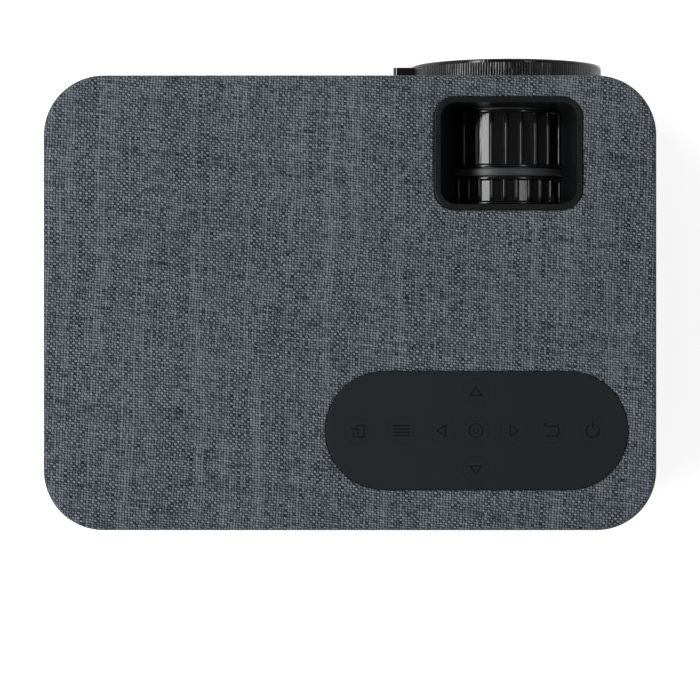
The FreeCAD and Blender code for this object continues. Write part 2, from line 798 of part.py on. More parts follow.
def convex_glass(edge_y, front_bulge, back_bulge, radius=barrel_inner_radius - pin_gap, edge=glass_edge):
    """Lens element with a round rim that starts at edge_y and two spherical faces."""
    def sphere_rise(bulge, r):
        sphere = (radius * radius + bulge * bulge) / (2 * bulge)
        return sphere - math.sqrt(sphere * sphere - r * r)

    half = radius / 2
    front = [vec(0, edge_y - front_bulge, 0),
             vec(half, edge_y - front_bulge + sphere_rise(front_bulge, half), 0), vec(radius, edge_y, 0)]
    back_y_mid = edge_y + edge + back_bulge
    back = [vec(radius, edge_y + edge, 0), vec(half, back_y_mid - sphere_rise(back_bulge, half), 0),
            vec(0, back_y_mid, 0)]
    edges = [Part.Arc(*front).toShape(), Part.LineSegment(front[2], back[0]).toShape(),
             Part.Arc(*back).toShape(), Part.LineSegment(back[2], front[0]).toShape()]
    glass = Part.Face(Part.Wire(edges)).revolve(vec(0, 0, 0), vec(0, 1, 0), 360)
    glass.translate(vec(lens_x, 0, optical_height))
    return glass


# ---------------------------------------------------------------- light path
def upright_wire(width, height, y):
    wire = rounded_wire(width, height, mount_corner_radius, 0, 0, 0)
    wire.rotate(vec(0, 0, 0), vec(1, 0, 0), 90)
    wire.translate(vec(lens_x, y, optical_height))
    return wire


def square_cone(front_size, back_size, y0, y1):
    """Hollow square duct that widens or narrows from y0 to y1; sizes are clear inside sizes."""
    skins = []
    for grow in (tunnel_wall, 0):
        wires = [upright_wire(front_size[0] + 2 * grow, front_size[1] + 2 * grow, y0),
                 upright_wire(back_size[0] + 2 * grow, back_size[1] + 2 * grow, y1)]
        skins.append(Part.makeLoft(wires, True, True))
    return skins[0].cut(skins[1])


def make_light_tunnel():
    gate = (gate_width, gate_height)
    mouth = (cone_mouth_size, cone_mouth_size)
    lamp_inner = lamp_block_size - 2 * tunnel_wall
    cones = [square_cone(mouth, gate, mount_back_y, gate_front_y),
             square_cone(gate, (lamp_inner, lamp_inner), gate_back_y, lamp_block_y)]
    frame = rounded_y(gate_width + 2 * tunnel_wall, gate_height + 2 * tunnel_wall, mount_corner_radius,
                      gate_front_y, gate_back_y, lens_x, optical_height)
    frame = frame.cut(rounded_y(gate_width, gate_height, mount_corner_radius - tunnel_wall,
                                gate_front_y - 1, gate_back_y + 1, lens_x, optical_height))
    lamp_block = rounded_y(lamp_block_size, lamp_block_size, mount_corner_radius, lamp_block_y, lamp_front_y,
                           lens_x, optical_height)
    lamp_block = lamp_block.cut(rod_y(lamp_bore_radius, lamp_block_y - 1, lamp_front_y + 1))
    save("light_tunnel", joined([frame, lamp_block] + cones))


def gate_plate(y0, thickness):
    return rounded_y(gate_width - 2 * free_gap, gate_height - 2 * free_gap,
                     mount_corner_radius - tunnel_wall, y0, y0 + thickness, lens_x, optical_height)


def make_gate_optics():
    step = gate_length / 4
    save("fresnel_lenses", gate_plate(gate_front_y + step - fresnel_thickness, fresnel_thickness),
         gate_plate(gate_back_y - step, fresnel_thickness))
    lcd_y = (gate_front_y + gate_back_y - lcd_thickness) / 2
    window = [rounded_y(gate_width - 2 * lcd_border, gate_height - 2 * lcd_border, gate_corner_radius, y0,
                        y0 + lcd_glass_depth + 1, lens_x, optical_height)
              for y0 in (lcd_y - 1, lcd_y + lcd_thickness - lcd_glass_depth)]
    save("lcd_panel", carved(gate_plate(lcd_y, lcd_thickness), window))
    condenser_y = lamp_block_y + seat_gap
    bulge = condenser_thickness - glass_edge
    save("condenser_lens", convex_glass(condenser_y + bulge / 2, bulge / 2, bulge / 2,
                                        lamp_bore_radius - seat_gap))


def make_lamp():
    board = rounded_y(lamp_board_size, lamp_board_size, mount_corner_radius, lamp_front_y, sink_front_y,
                      lens_x, optical_height)
    chip = rounded_y(lamp_chip_size, lamp_chip_size, gate_corner_radius, lamp_front_y - lamp_chip_height,
                     lamp_front_y + board_thickness / 2, lens_x, optical_height)
    save("lamp_board", joined([board, chip]))
    half = sink_size / 2
    fins = [block(lens_x - half, lens_x + half, sink_front_y, sink_front_y + sink_base,
                  optical_height - half, optical_height + half)]
    pitch = (sink_size - sink_fin_thickness) / (sink_fins - 1)
    for i in range(sink_fins):
        x = lens_x - half + i * pitch
        fins.append(block(x, x + sink_fin_thickness, sink_front_y + sink_base / 2, sink_back_y,
                          optical_height - half, optical_height + half))
    save("heatsink", joined(fins))


def make_fan():
    """Square fan frame with a stator hub on four struts, and a rotor with pitched blades on its shaft."""
    frame = rounded_y(fan_size, fan_size, fan_corner_radius, fan_front_y, fan_back_y, lens_x, optical_height)
    frame = frame.cut(rod_y(fan_bore_radius, fan_front_y - 1, fan_back_y + 1))
    strut_y = fan_back_y - fan_strut_depth
    rotor_back_y = strut_y - free_gap
    rotor_front_y = fan_front_y + free_gap
    hub_back = rod_y(fan_hub_radius, strut_y, fan_back_y)
    reach = fan_bore_radius + 1
    struts = []
    for start in (45, 135):
        strut = block(-reach, reach, strut_y, fan_back_y, -fan_strut_width / 2, fan_strut_width / 2)
        strut.rotate(vec(0, 0, 0), vec(0, 1, 0), start)
        strut.translate(vec(lens_x, 0, optical_height))
        struts.append(strut)
    shaft = rod_y(fan_shaft_radius, rotor_front_y + fan_strut_depth + free_gap, fan_back_y - fan_strut_depth / 2)
    save("fan_frame", joined([frame, hub_back, shaft] + struts))
    depth = rotor_back_y - rotor_front_y
    blades = []
    for i in range(fan_blades):
        long_side = depth / math.cos(math.radians(fan_blade_pitch_angle)) * 2
        blade = block(fan_hub_radius - 1, fan_bore_radius * 1.5, -long_side / 2, long_side / 2,
                      -fan_blade_thickness / 2, fan_blade_thickness / 2)
        blade.rotate(vec(0, 0, 0), vec(1, 0, 0), fan_blade_pitch_angle)
        blade.rotate(vec(0, 0, 0), vec(0, 1, 0), i * 360.0 / fan_blades)
        blade.translate(vec(lens_x, (rotor_front_y + rotor_back_y) / 2, optical_height))
        blades.append(blade.common(rod_y(fan_blade_radius, rotor_front_y, rotor_back_y)))
    hub = rod_y(fan_hub_radius, rotor_front_y, rotor_back_y)
    rotor = joined([hub] + blades)
    bore = rod_y(fan_shaft_radius + pin_gap, rotor_front_y + fan_strut_depth, rotor_back_y + 1)
    save("fan_rotor", rotor.cut(bore))


# ---------------------------------------------------------------- grilles and rear panel
def make_side_grille():
    """Intake grille in the lens-side wall: a rounded frame with sloping louvres."""
    frame = rounded_x(side_grille_width - 2 * seat_gap, side_grille_height - 2 * seat_gap,
                      grille_corner_radius - seat_gap, -tub_side_x, -inner_side_x + 1,
                      center_y, optical_height)
    flange = rounded_x(side_grille_width + 2 * plate_flange, side_grille_height + 2 * plate_flange,
                       grille_corner_radius + plate_flange, -inner_side_x,
                       -inner_side_x + plate_flange_thickness, center_y, optical_height)
    mouth_width = side_grille_width - 2 * grille_border
    mouth_height = side_grille_height - 2 * grille_border
    mouth = rounded_x(mouth_width, mouth_height, grille_corner_radius - grille_border, -tub_side_x - 1,
                      -inner_side_x + plate_flange_thickness + 1, center_y, optical_height)
    frame = joined([frame, flange]).cut(mouth)
    depth = wall + plate_flange_thickness
    keep = rounded_x(mouth_width + 1, mouth_height + 1, grille_corner_radius - grille_border + 0.5,
                     -tub_side_x, -inner_side_x + plate_flange_thickness, center_y, optical_height)
    count = int(mouth_height / louvre_pitch)
    first = optical_height - (count - 1) * louvre_pitch / 2
    middle_x = -tub_side_x + depth / 2
    louvres = []
    for i in range(count):
        blade = block(-depth, depth, -mouth_width / 2 - 0.5, mouth_width / 2 + 0.5,
                      -louvre_thickness / 2, louvre_thickness / 2)
        blade.rotate(vec(0, 0, 0), vec(0, 1, 0), -louvre_tilt)
        blade.translate(vec(middle_x, center_y, first + i * louvre_pitch))
        louvres.append(blade.common(keep))
    save("side_grille", joined([frame] + louvres))


def make_speaker_parts():
    """Oval grille with upright slots that follow its outline, and the loudspeaker behind it."""
    z = optical_height
    height = speaker_grille_height - 2 * seat_gap
    plate = rounded_y(speaker_grille_width - 2 * seat_gap, height, height / 2, tub_front_y,
                      inner_front_y + 1, speaker_x, z)
    flange_height = speaker_grille_height + 2 * plate_flange
    flange = rounded_y(speaker_grille_width + 2 * plate_flange, flange_height, flange_height / 2,
                       inner_front_y, inner_front_y + plate_flange_thickness, speaker_x, z)
    radius = speaker_grille_height / 2 - grille_border
    straight = speaker_grille_width / 2 - speaker_grille_height / 2
    count = int((straight + radius - speaker_slot_width) / speaker_slot_pitch)
    slots = []
    for i in range(-count, count + 1):
        x = i * speaker_slot_pitch
        past = max(0.0, abs(x) + speaker_slot_width / 2 - straight)
        half = math.sqrt(radius * radius - past * past)
        slots.append(rounded_y(speaker_slot_width, 2 * half, speaker_slot_width / 2, tub_front_y - 1,
                               inner_front_y + plate_flange_thickness + 1, speaker_x + x, z))
    save("speaker_grille", carved(joined([plate, flange]), slots))
    face_y = inner_front_y + plate_flange_thickness
    rim = face_y + speaker_rim_depth
    cone = rim + speaker_cone_depth
    dome = rim + speaker_cone_depth / 2
    back = face_y + speaker_depth
    rim_inner = speaker_radius - speaker_rim_width
    profile = [(face_y, speaker_radius), (face_y, rim_inner), (rim, rim_inner - speaker_rim_width),
               (cone, speaker_dome_radius), (dome, 0.0), (back, 0.0), (back, speaker_magnet_radius),
               (back - speaker_magnet_depth, speaker_magnet_radius), (dome, rim_inner), (rim, speaker_radius)]
    save("speaker", turned_y(profile, speaker_x, z))


def make_rear_panel():
    """Rear wall plate with the fan's exhaust slots and the socket cut-outs."""
    plate = rounded_y(rear_panel_width - 2 * seat_gap, rear_panel_height - 2 * seat_gap,
                      rear_panel_corner_radius - seat_gap, inner_back_y - 1, tub_back_y, 0, rear_panel_z)
    flange = rounded_y(rear_panel_width + 2 * plate_flange, rear_panel_height + 2 * plate_flange,
                       rear_panel_corner_radius + plate_flange, inner_back_y - plate_flange_thickness,
                       inner_back_y, 0, rear_panel_z)
    y0 = inner_back_y - plate_flange_thickness - 1
    y1 = tub_back_y + 1
    radius = fan_blade_radius - 1
    cuts = []
    count = int(radius / exhaust_slot_pitch)
    for i in range(-count, count + 1):
        dz = i * exhaust_slot_pitch
        half = math.sqrt(radius * radius - (abs(dz) + exhaust_slot_height / 2) ** 2)
        cuts.append(rounded_y(2 * half, exhaust_slot_height, exhaust_slot_height / 2 - 0.01, y0, y1,
                              lens_x, rear_panel_z + dz))
    for outline in (hdmi_outline, usb_outline, inlet_outline):
        cuts.append(outline(y0, y1, seat_gap))
    for x in jack_places:
        cuts.append(rod_y(jack_nose_radius + seat_gap, y0, y1, x, jack_z))
    save("rear_panel", carved(joined([plate, flange]), cuts))


# ---------------------------------------------------------------- sockets and boards
socket_front_y = tub_back_y - socket_recess
jack_z = board_top + jack_size[1] / 2
socket_gap = (main_board_width - hdmi_size[0] - usb_size[0] - 2 * jack_size[0]) / 5
hdmi_x = main_board_x + socket_gap + hdmi_size[0] / 2
usb_x = hdmi_x + (hdmi_size[0] + usb_size[0]) / 2 + socket_gap
jack_x = usb_x + (usb_size[0] + jack_size[0]) / 2 + socket_gap
jack_places = (jack_x, jack_x + jack_size[0] + socket_gap)
inlet_x = power_board_x + power_board_width / 2


def hdmi_outline(y0, y1, grow):
    """D-shaped shell: a wide top and a narrower foot with sloping corners."""
    width, height, _ = hdmi_size
    slope = height / 3
    x0 = hdmi_x - width / 2 - grow
    x1 = hdmi_x + width / 2 + grow
    z0 = board_top - grow
    z1 = board_top + height + grow
    corners = [(x0 + slope, z0), (x1 - slope, z0), (x1, z0 + slope), (x1, z1), (x0, z1), (x0, z0 + slope)]
    points = [vec(x, y0, z) for x, z in corners]
    return Part.Face(Part.makePolygon(points + points[:1])).extrude(vec(0, y1 - y0, 0))


def usb_outline(y0, y1, grow):
    width, height, _ = usb_size
    return rounded_y(width + 2 * grow, height + 2 * grow, shell_corner_radius, y0, y1, usb_x,
                     board_top + height / 2)


def inlet_outline(y0, y1, grow):
    width, height, _ = inlet_size
    return rounded_y(width + 2 * grow, height + 2 * grow, inlet_corner + grow, y0, y1, inlet_x,
                     board_top + height / 2)


def make_sockets():
    width, height, depth = hdmi_size
    back = socket_front_y - depth
    shell = hdmi_outline(back, socket_front_y, 0)
    shell = shell.cut(hdmi_outline(back + shell_wall, socket_front_y + 1, -shell_wall))
    middle = board_top + height / 2
    tongue = block(hdmi_x - width / 3, hdmi_x + width / 3, back + shell_wall / 2,
                   socket_front_y - tongue_recess, middle - hdmi_tongue_thickness / 2,
                   middle + hdmi_tongue_thickness / 2)
    save("hdmi_socket", joined([shell, tongue]))
    width, height, depth = usb_size
    back = socket_front_y - depth
    shell = usb_outline(back, socket_front_y, 0)
    shell = shell.cut(usb_outline(back + shell_wall, socket_front_y + 1, -shell_wall))
    middle = board_top + height / 2
    tongue = block(usb_x - width / 2 + usb_tongue_inset, usb_x + width / 2 - usb_tongue_inset,
                   back + shell_wall / 2, socket_front_y - tongue_recess, middle, middle + usb_tongue_thickness)
    save("usb_socket", joined([shell, tongue]))
    jacks = []
    for x in jack_places:
        width, height, depth = jack_size
        back = socket_front_y - depth
        body = block(x - width / 2, x + width / 2, back, main_board_back, board_top, board_top + height)
        nose = rod_y(jack_nose_radius, back + overlap, socket_front_y, x, jack_z)
        bore = rod_y(jack_bore_radius, back + 2 * overlap, socket_front_y + 1, x, jack_z)
        jacks.append(joined([body, nose]).cut(bore))
    save("audio_jacks", *jacks)
    width, height, depth = inlet_size
    back = socket_front_y - depth
    body = inlet_outline(back, socket_front_y, 0)
    hollow = inlet_outline(back + inlet_back_wall, socket_front_y + 1, -inlet_wall)
    pins = [rod_y(inlet_pin_radius, back + inlet_back_wall - overlap, socket_front_y - inlet_pin_recess,
                  inlet_x + side * inlet_pin_pitch / 2, board_top + height / 2) for side in (-1, 1)]
    save("mains_inlet", joined([body.cut(hollow)] + pins))


def on_board(width, length, height, x, y):
    """Box-shaped part soldered to a board, with its middle at (x, y)."""
    return block(x - width / 2, x + width / 2, y - length / 2, y + length / 2, board_top - overlap,
                 board_top + height)


def can(radius, height, x, y):
    return rod_z(radius, board_top - overlap, board_top + height, x, y)


def make_main_board():
    board = block(main_board_x, main_board_x + main_board_width, main_board_y, main_board_back,
                  board_bottom, board_top)
    left, right = main_board_x + main_board_width / 4, main_board_x + main_board_width * 3 / 4
    front, middle = main_board_y + main_board_length / 4, main_board_y + main_board_length / 2
    pieces = [board, on_board(chip_sink_size, chip_sink_size, chip_sink_base, left, front)]
    for i in range(chip_sink_fins):
        x = left + (i / (chip_sink_fins - 1) - 0.5) * (chip_sink_size - chip_sink_fin)
        pieces.append(on_board(chip_sink_fin, chip_sink_size, chip_sink_height, x, front))
    for i in (-1, 0, 1):
        pieces.append(can(board_cap_radius, board_cap_height, right, front + i * board_cap_pitch))
    for i in (0, 1):
        pieces.append(on_board(*memory_size, left + i * memory_pitch, middle))
    save("main_board", joined(pieces))


def make_power_board():
    board = block(power_board_x, power_board_x + power_board_width, power_board_y, main_board_back,
                  board_bottom, board_top)
    left, right = power_board_x + power_board_width / 4, power_board_x + power_board_width * 3 / 4
    middle = power_board_y + power_board_length / 2
    fuse_y = power_board_y + fuse_size[1]
    core = rounded_z(core_size[0], core_size[1], core_corner_radius, board_top - overlap,
                     board_top + core_size[2], power_board_x + power_board_width / 2, middle)
    caps = [can(bulk_cap_radius, drive_headroom - part_headroom, left, fuse_y + i * bulk_cap_pitch)
            for i in (-0.5, 0.5)]
    coil = can(coil_radius, coil_height, right, middle + core_size[1] / 2 + coil_radius + part_headroom)
    save("power_board", joined([board, core, coil, on_board(*fuse_size, right, fuse_y)] + caps))


# ---------------------------------------------------------------- key panel
def key_places():
    places = {name: (panel_center_x + offset, panel_center_y) for name, offset in key_row_offset.items()}
    for name, offset in key_column_offset.items():
        places[name] = (places["select"][0], panel_center_y + offset)
    return places


def make_key_panel():
    flange = oval(0, deck_z, panel_top)
    flange = flange.makeFillet(panel_edge, edges_at(flange, panel_top))
    body = oval(-panel_flange, panel_skirt_bottom, deck_z + overlap)
    hollow = oval(-panel_flange - panel_skirt, panel_skirt_bottom - 1, panel_under)
    holes = [rod_z(key_radius + key_gap, panel_under - 1, panel_top + 1, x, y)
             for x, y in key_places().values()]
    save("key_panel", carved(joined([flange, body]), [hollow] + holes))
    board = oval(-panel_flange, panel_skirt_bottom - board_thickness, panel_skirt_bottom)
    domes = [Part.makeCone(dome_radius, dome_radius / 2, dome_height + overlap,
                           vec(x, y, panel_skirt_bottom - overlap)) for x, y in key_places().values()]
    save("key_board", joined([board] + domes))


def make_keys():
    flange_top = panel_under - free_gap
    flange_bottom = flange_top - key_flange_thickness
    stem_bottom = panel_skirt_bottom + dome_height + key_travel + free_gap
    for name, (x, y) in key_places().items():
        cap = rod_z(key_radius, flange_bottom, panel_top, x, y)
        flange = rod_z(key_radius + key_flange, flange_bottom, flange_top, x, y)
        stem = rod_z(key_stem_radius, stem_bottom, flange_top, x, y)
        save("key_" + name, joined([cap, flange, stem]))


# ---------------------------------------------------------------- disc drive
def drive_block(x0, x1, half_width, z0, z1):
    return block(x0, x1, center_y - half_width, center_y + half_width, z0, z1)


def make_drive_case():
    half = drive_width / 2
    shell = drive_block(drive_back_x, drive_front_x, half, drive_bottom, cover_under)
    inside = drive_block(drive_back_x + drive_sheet, drive_front_x + 1, half - drive_sheet,
                         drive_bottom + drive_sheet, cover_under + 1)
    save("drive_chassis", shell.cut(inside))
    cover = drive_block(drive_back_x, drive_front_x, half, cover_under, drive_top)
    middle_x = (drive_back_x + drive_front_x) / 2
    raised = rounded_z(drive_depth - 2 * cover_step, drive_width - 2 * cover_side_step, cover_corner_radius,
                       cover_under, drive_top + drive_sheet, middle_x, center_y)
    save("drive_cover", joined([cover, raised]))


def make_disc_tray():
    """Tray with a stepped disc recess, rail rebates, and a bay with a thin floor for the disc mechanism."""
    x0, x1 = tray_back_x, fascia_back_x
    pan_top = tray_bottom + tray_pan
    tray = joined([drive_block(x0, x1, tray_half_width, tray_step, tray_top),
                   drive_block(x0, x1, tray_low_half_width, tray_bottom, tray_step + 1)])
    bay = joined([rod_z(bay_radius, pan_top, tray_top + 1, spindle_x, center_y),
                  drive_block(spindle_x, bay_front_x, bay_half_width, pan_top, tray_top + 1)])
    surround = joined([rod_z(bay_radius + bay_wall, tray_bottom - 1, tray_top, spindle_x, center_y),
                       drive_block(spindle_x - bay_wall - rod_seat, x1, bay_half_width + bay_wall,
                                   tray_bottom - 1, tray_top)])
    pocket = drive_block(x0 + tray_wall, x1 - tray_wall, tray_low_half_width - tray_wall,
                         tray_bottom - 1, recess_floor - tray_web)
    recess = rod_z(disc_radius + disc_rim_gap, recess_floor, tray_top + 1, spindle_x, center_y)
    cuts = [pocket.cut(surround), recess, bay]
    for side in (-1, 1):
        cuts.append(rod_x(rod_radius, spindle_x - rod_seat, bay_front_x + rod_seat / 2,
                          center_y + side * rod_offset, rod_height))
    cuts.append(rod_x(lead_screw_radius + pin_gap, spindle_x - rod_seat, bay_front_x + rod_seat / 2,
                      center_y + screw_offset, rod_height))
    save("disc_tray", carved(tray, cuts))


def make_fascia():
    face = rounded_x(fascia_width, fascia_height, fascia_corner_radius, fascia_back_x,
                     fascia_back_x + fascia_thickness, center_y, drive_center_z)
    eject_y = center_y + eject_y_offset
    eject_hole = rounded_x(eject_width + 2 * seat_gap, eject_height + 2 * seat_gap,
                           eject_corner_radius + seat_gap, fascia_back_x - 1, tub_side_x, eject_y,
                           drive_center_z)
    hatch = rod_x(hatch_radius, fascia_back_x - 1, tub_side_x, eject_y - eject_width, drive_center_z)
    save("tray_fascia", carved(face, [eject_hole, hatch]))
    front = fascia_back_x + fascia_thickness + eject_proud
    save("eject_button", rounded_x(eject_width, eject_height, eject_corner_radius, front - eject_depth,
                                   front, eject_y, drive_center_z))


def make_slide_rails():
    rails = []
    x0 = drive_back_x + rail_back_gap
    for side in (-1, 1):
        inner, outer = sorted((center_y + side * rail_inner, center_y + side * rail_outer))
        rail = block(x0, x0 + rail_length, inner, outer, drive_bottom + drive_sheet + free_gap,
                     tray_step - free_gap)
        groove_y = center_y + side * rail_inner
        groove_top = rod_height - rail_groove_drop
        groove = block(x0 + rail_groove_end, x0 + rail_length - rail_groove_end, groove_y - rail_groove_depth,
                       groove_y + rail_groove_depth, groove_top - rail_groove_height, groove_top)
        rails.append(rail.cut(groove))
    save("slide_rails", *rails)


def make_spindle():
    bottom = tray_bottom + tray_pan
    flange = rod_z(bay_radius - free_gap, bottom, bottom + motor_flange_thickness, spindle_x, center_y)
    can_top = bottom + motor_height
    can = rod_z(motor_radius, bottom, can_top, spindle_x, center_y)
    seat = can_top + free_gap
    shaft_top = seat + turntable_thickness + turntable_boss_height / 2
    shaft = rod_z(spindle_radius, bottom, shaft_top, spindle_x, center_y)
    save("spindle_motor", joined([flange, can, shaft]))
    plate = rod_z(turntable_radius, seat, seat + turntable_thickness, spindle_x, center_y)
    boss_top = seat + turntable_thickness + turntable_boss_height
    boss = Part.makeCone(turntable_boss_radius, turntable_boss_radius - turntable_boss_taper,
                         turntable_boss_height, vec(spindle_x, center_y, seat + turntable_thickness))
    catches = []
    for i in range(turntable_catches):
        turn = 2 * math.pi * i / turntable_catches
        reach = turntable_boss_radius - catch_radius
        catches.append(rod_z(catch_radius, seat, boss_top + catch_proud, spindle_x + reach * math.cos(turn),
                             center_y + reach * math.sin(turn)))
    bore = rod_z(spindle_radius + pin_gap, seat - 1, shaft_top + pin_gap, spindle_x, center_y)
    save("turntable", joined([plate, boss] + catches).cut(bore))


def make_pickup():
    """Pickup sled with its objective, on two guide rods and a lead screw along X."""
    ends = (spindle_x - rod_seat + rod_end_gap, bay_front_x + rod_seat / 2 - rod_end_gap)
    rods = [rod_x(rod_radius, ends[0], ends[1], center_y + side * rod_offset, rod_height)
            for side in (-1, 1)]
    save("guide_rods", *rods)
    save("lead_screw", rod_x(lead_screw_radius, ends[0], ends[1], center_y + screw_offset, rod_height))
    top = rod_height + sled_height / 2
    sled = rounded_z(sled_length, 2 * sled_half_width, sled_corner_radius, top - sled_height, top,
                     sled_back_x + sled_length / 2, center_y)
    arm = block(sled_back_x + sled_arm_inset, sled_back_x + sled_length - sled_arm_inset,
                center_y + rod_offset, center_y + screw_offset + lead_screw_radius + sled_arm_wall,
                top - sled_height, top)
    objective_x = sled_back_x + sled_length - objective_radius - objective_edge
    objective = rod_z(objective_radius, top - overlap, top + objective_height, objective_x, center_y)
    ring = rod_z(objective_radius - objective_rim, top + objective_height - objective_recess,
                 top + objective_height + 1, objective_x, center_y)
    bores = [rod_x(rod_radius + pin_gap, sled_back_x - 1, sled_back_x + sled_length + 1,
                   center_y + side * rod_offset, rod_height) for side in (-1, 1)]
    bores.append(rod_x(lead_screw_radius + pin_gap, sled_back_x - 1, sled_back_x + sled_length + 1,
                       center_y + screw_offset, rod_height))
    save("pickup_sled", carved(joined([sled, arm, objective]), [ring] + bores))


make_bottom_shell()
make_top_cover()
make_fabric_skin()
make_wheel_well()
make_case_screws()
make_feet()
make_front_foot()
make_lens_ring()
make_receiver_window()
make_wheels()
make_lens_mount()
make_carrier_and_barrel()
make_light_tunnel()
make_gate_optics()
make_lamp()
make_fan()
make_side_grille()
make_speaker_parts()
make_rear_panel()
make_sockets()
make_main_board()
make_power_board()
make_key_panel()
make_keys()
make_drive_case()
make_disc_tray()
make_fascia()
make_slide_rails()
make_spindle()
make_pickup()
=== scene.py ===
import json
import math

import bmesh
import bpy
from mathutils import Matrix, Vector


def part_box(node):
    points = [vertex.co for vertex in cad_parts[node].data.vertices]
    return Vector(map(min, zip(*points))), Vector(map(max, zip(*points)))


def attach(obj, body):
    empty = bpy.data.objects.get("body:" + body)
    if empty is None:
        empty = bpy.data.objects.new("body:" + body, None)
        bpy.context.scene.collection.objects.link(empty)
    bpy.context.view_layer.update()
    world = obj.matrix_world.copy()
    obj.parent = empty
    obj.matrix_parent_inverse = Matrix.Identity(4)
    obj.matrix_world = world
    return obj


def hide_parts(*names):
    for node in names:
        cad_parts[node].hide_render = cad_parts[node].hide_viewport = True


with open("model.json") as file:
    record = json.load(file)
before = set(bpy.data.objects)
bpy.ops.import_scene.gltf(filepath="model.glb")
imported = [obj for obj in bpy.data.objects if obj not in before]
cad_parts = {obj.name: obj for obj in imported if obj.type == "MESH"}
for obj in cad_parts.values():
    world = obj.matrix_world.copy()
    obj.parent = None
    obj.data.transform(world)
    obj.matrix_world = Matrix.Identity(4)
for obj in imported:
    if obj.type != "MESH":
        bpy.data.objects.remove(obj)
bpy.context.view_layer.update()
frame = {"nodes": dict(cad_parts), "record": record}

# Dressing of a table-top video projector with a tray-type disc drive.
# Metres, in the frame of the solids: the lens looks along -Y and the disc drive is on the +X side.

MM = 0.001


def extent(node):
    """Low and high corner of a solid."""
    low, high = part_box(node)
    return Vector(low), Vector(high)


def middle(node):
    """Centre of a solid's box."""
    low, high = extent(node)
    return (low + high) / 2


def round_about_y(node):
    """Ends along Y, a centre at Y = 0 and the outer radius of a solid that is round about a Y axis."""
    low, high = extent(node)
    return low.y, high.y, Vector(((low.x + high.x) / 2, 0.0, (low.z + high.z) / 2)), (high.z - low.z) / 2


# ---------------------------------------------------------------- finishes
# Sockets of the mix node, by number: it has one pair for numbers and another for colours.
MIX_FACTOR, MIX_NUMBERS, MIX_COLOURS, MIX_COLOUR_OUT = 0, (2, 3), (6, 7), 2


class Finish:
    """One procedural finish. Its methods add nodes and hand back their output sockets."""

    def __init__(self, name, **constants):
        self.material = bpy.data.materials.new(name)
        self.material.use_nodes = True
        self.tree = self.material.node_tree
        self.shader = self.tree.nodes["Principled BSDF"]
        for socket, value in constants.items():
            self.shader.inputs[socket.replace("_", " ")].default_value = value

    def node(self, kind, **values):
        made = self.tree.nodes.new(kind)
        for key, value in values.items():
            setattr(made, key, value)
        return made

    def feed(self, socket, value):
        if isinstance(value, bpy.types.NodeSocket):
            self.tree.links.new(value, socket)
        elif value is not None:
            socket.default_value = value

    def place(self):
        return self.node("ShaderNodeTexCoord").outputs["Object"]

    def stretched(self, vector, scale):
        mapping = self.node("ShaderNodeMapping")
        self.feed(mapping.inputs["Vector"], vector)
        mapping.inputs["Scale"].default_value = scale
        return mapping.outputs["Vector"]

    def calc(self, operation, a, b=None, c=None):
        made = self.node("ShaderNodeMath", operation=operation)
        for socket, value in zip(made.inputs, (a, b, c)):
            self.feed(socket, value)
        return made.outputs[0]

    def noise(self, vector, scale, detail=2.0, roughness=0.5):
        made = self.node("ShaderNodeTexNoise")
        self.feed(made.inputs["Vector"], vector)
        made.inputs["Scale"].default_value = scale
        made.inputs["Detail"].default_value = detail
        made.inputs["Roughness"].default_value = roughness
        return made.outputs["Fac"]

    def spread(self, value, low, high, start=0.0, end=1.0):
        """The value's run from start to end, stretched to run from low to high."""
        made = self.node("ShaderNodeMapRange", clamp=True)
        for key, number in (("From Min", start), ("From Max", end), ("To Min", low), ("To Max", high)):
            made.inputs[key].default_value = number
        self.feed(made.inputs["Value"], value)
        return made.outputs["Result"]

    def mixed(self, kind, sockets, factor, first, second):
        made = self.node("ShaderNodeMix", data_type=kind)
        for socket, value in zip((MIX_FACTOR,) + sockets, (factor, first, second)):
            self.feed(made.inputs[socket], value)
        return made

    def chosen(self, factor, first, second):
        """The first number where the factor is 0, the second where it is 1."""
        return self.mixed("FLOAT", MIX_NUMBERS, factor, first, second).outputs[0]

    def blended(self, factor, first, second):
        """The same for two colours."""
        return self.mixed("RGBA", MIX_COLOURS, factor, first, second).outputs[MIX_COLOUR_OUT]

    def relief(self, height, distance, strength=1.0):
        made = self.node("ShaderNodeBump")
        made.inputs["Strength"].default_value = strength
        made.inputs["Distance"].default_value = distance
        self.feed(made.inputs["Height"], height)
        return made.outputs["Normal"]

    def finish(self, colour=None, roughness=None, normal=None):
        self.feed(self.shader.inputs["Base Color"], colour)
        self.feed(self.shader.inputs["Roughness"], roughness)
        self.feed(self.shader.inputs["Normal"], normal)
        return self.material


def shade(colour, factor):
    """Colour made lighter or darker, with its alpha."""
    return tuple(min(1.0, c * factor) for c in colour[:3]) + (1.0,)


def moulded_plastic(name, colour, roughness, grain=0.35, grain_depth=0.02, patch=0.12, **constants):
    """Moulded plastic: cloudy tone, uneven gloss and a fine spark-eroded grain, sized in millimetres."""
    f = Finish(name, **constants)
    place = f.place()
    cloud = f.noise(place, scale=18.0, detail=3.0, roughness=0.6)
    tone = f.blended(cloud, shade(colour, 1.0 - patch), shade(colour, 1.0 + patch))
    rub = f.noise(place, scale=65.0, detail=4.0, roughness=0.65)
    gloss = f.spread(rub, roughness * 0.86, roughness * 1.14, start=0.3, end=0.7)
    pits = f.noise(place, scale=1.0 / (grain * MM), detail=2.0, roughness=0.55)
    return f.finish(tone, gloss, f.relief(pits, grain_depth * MM))


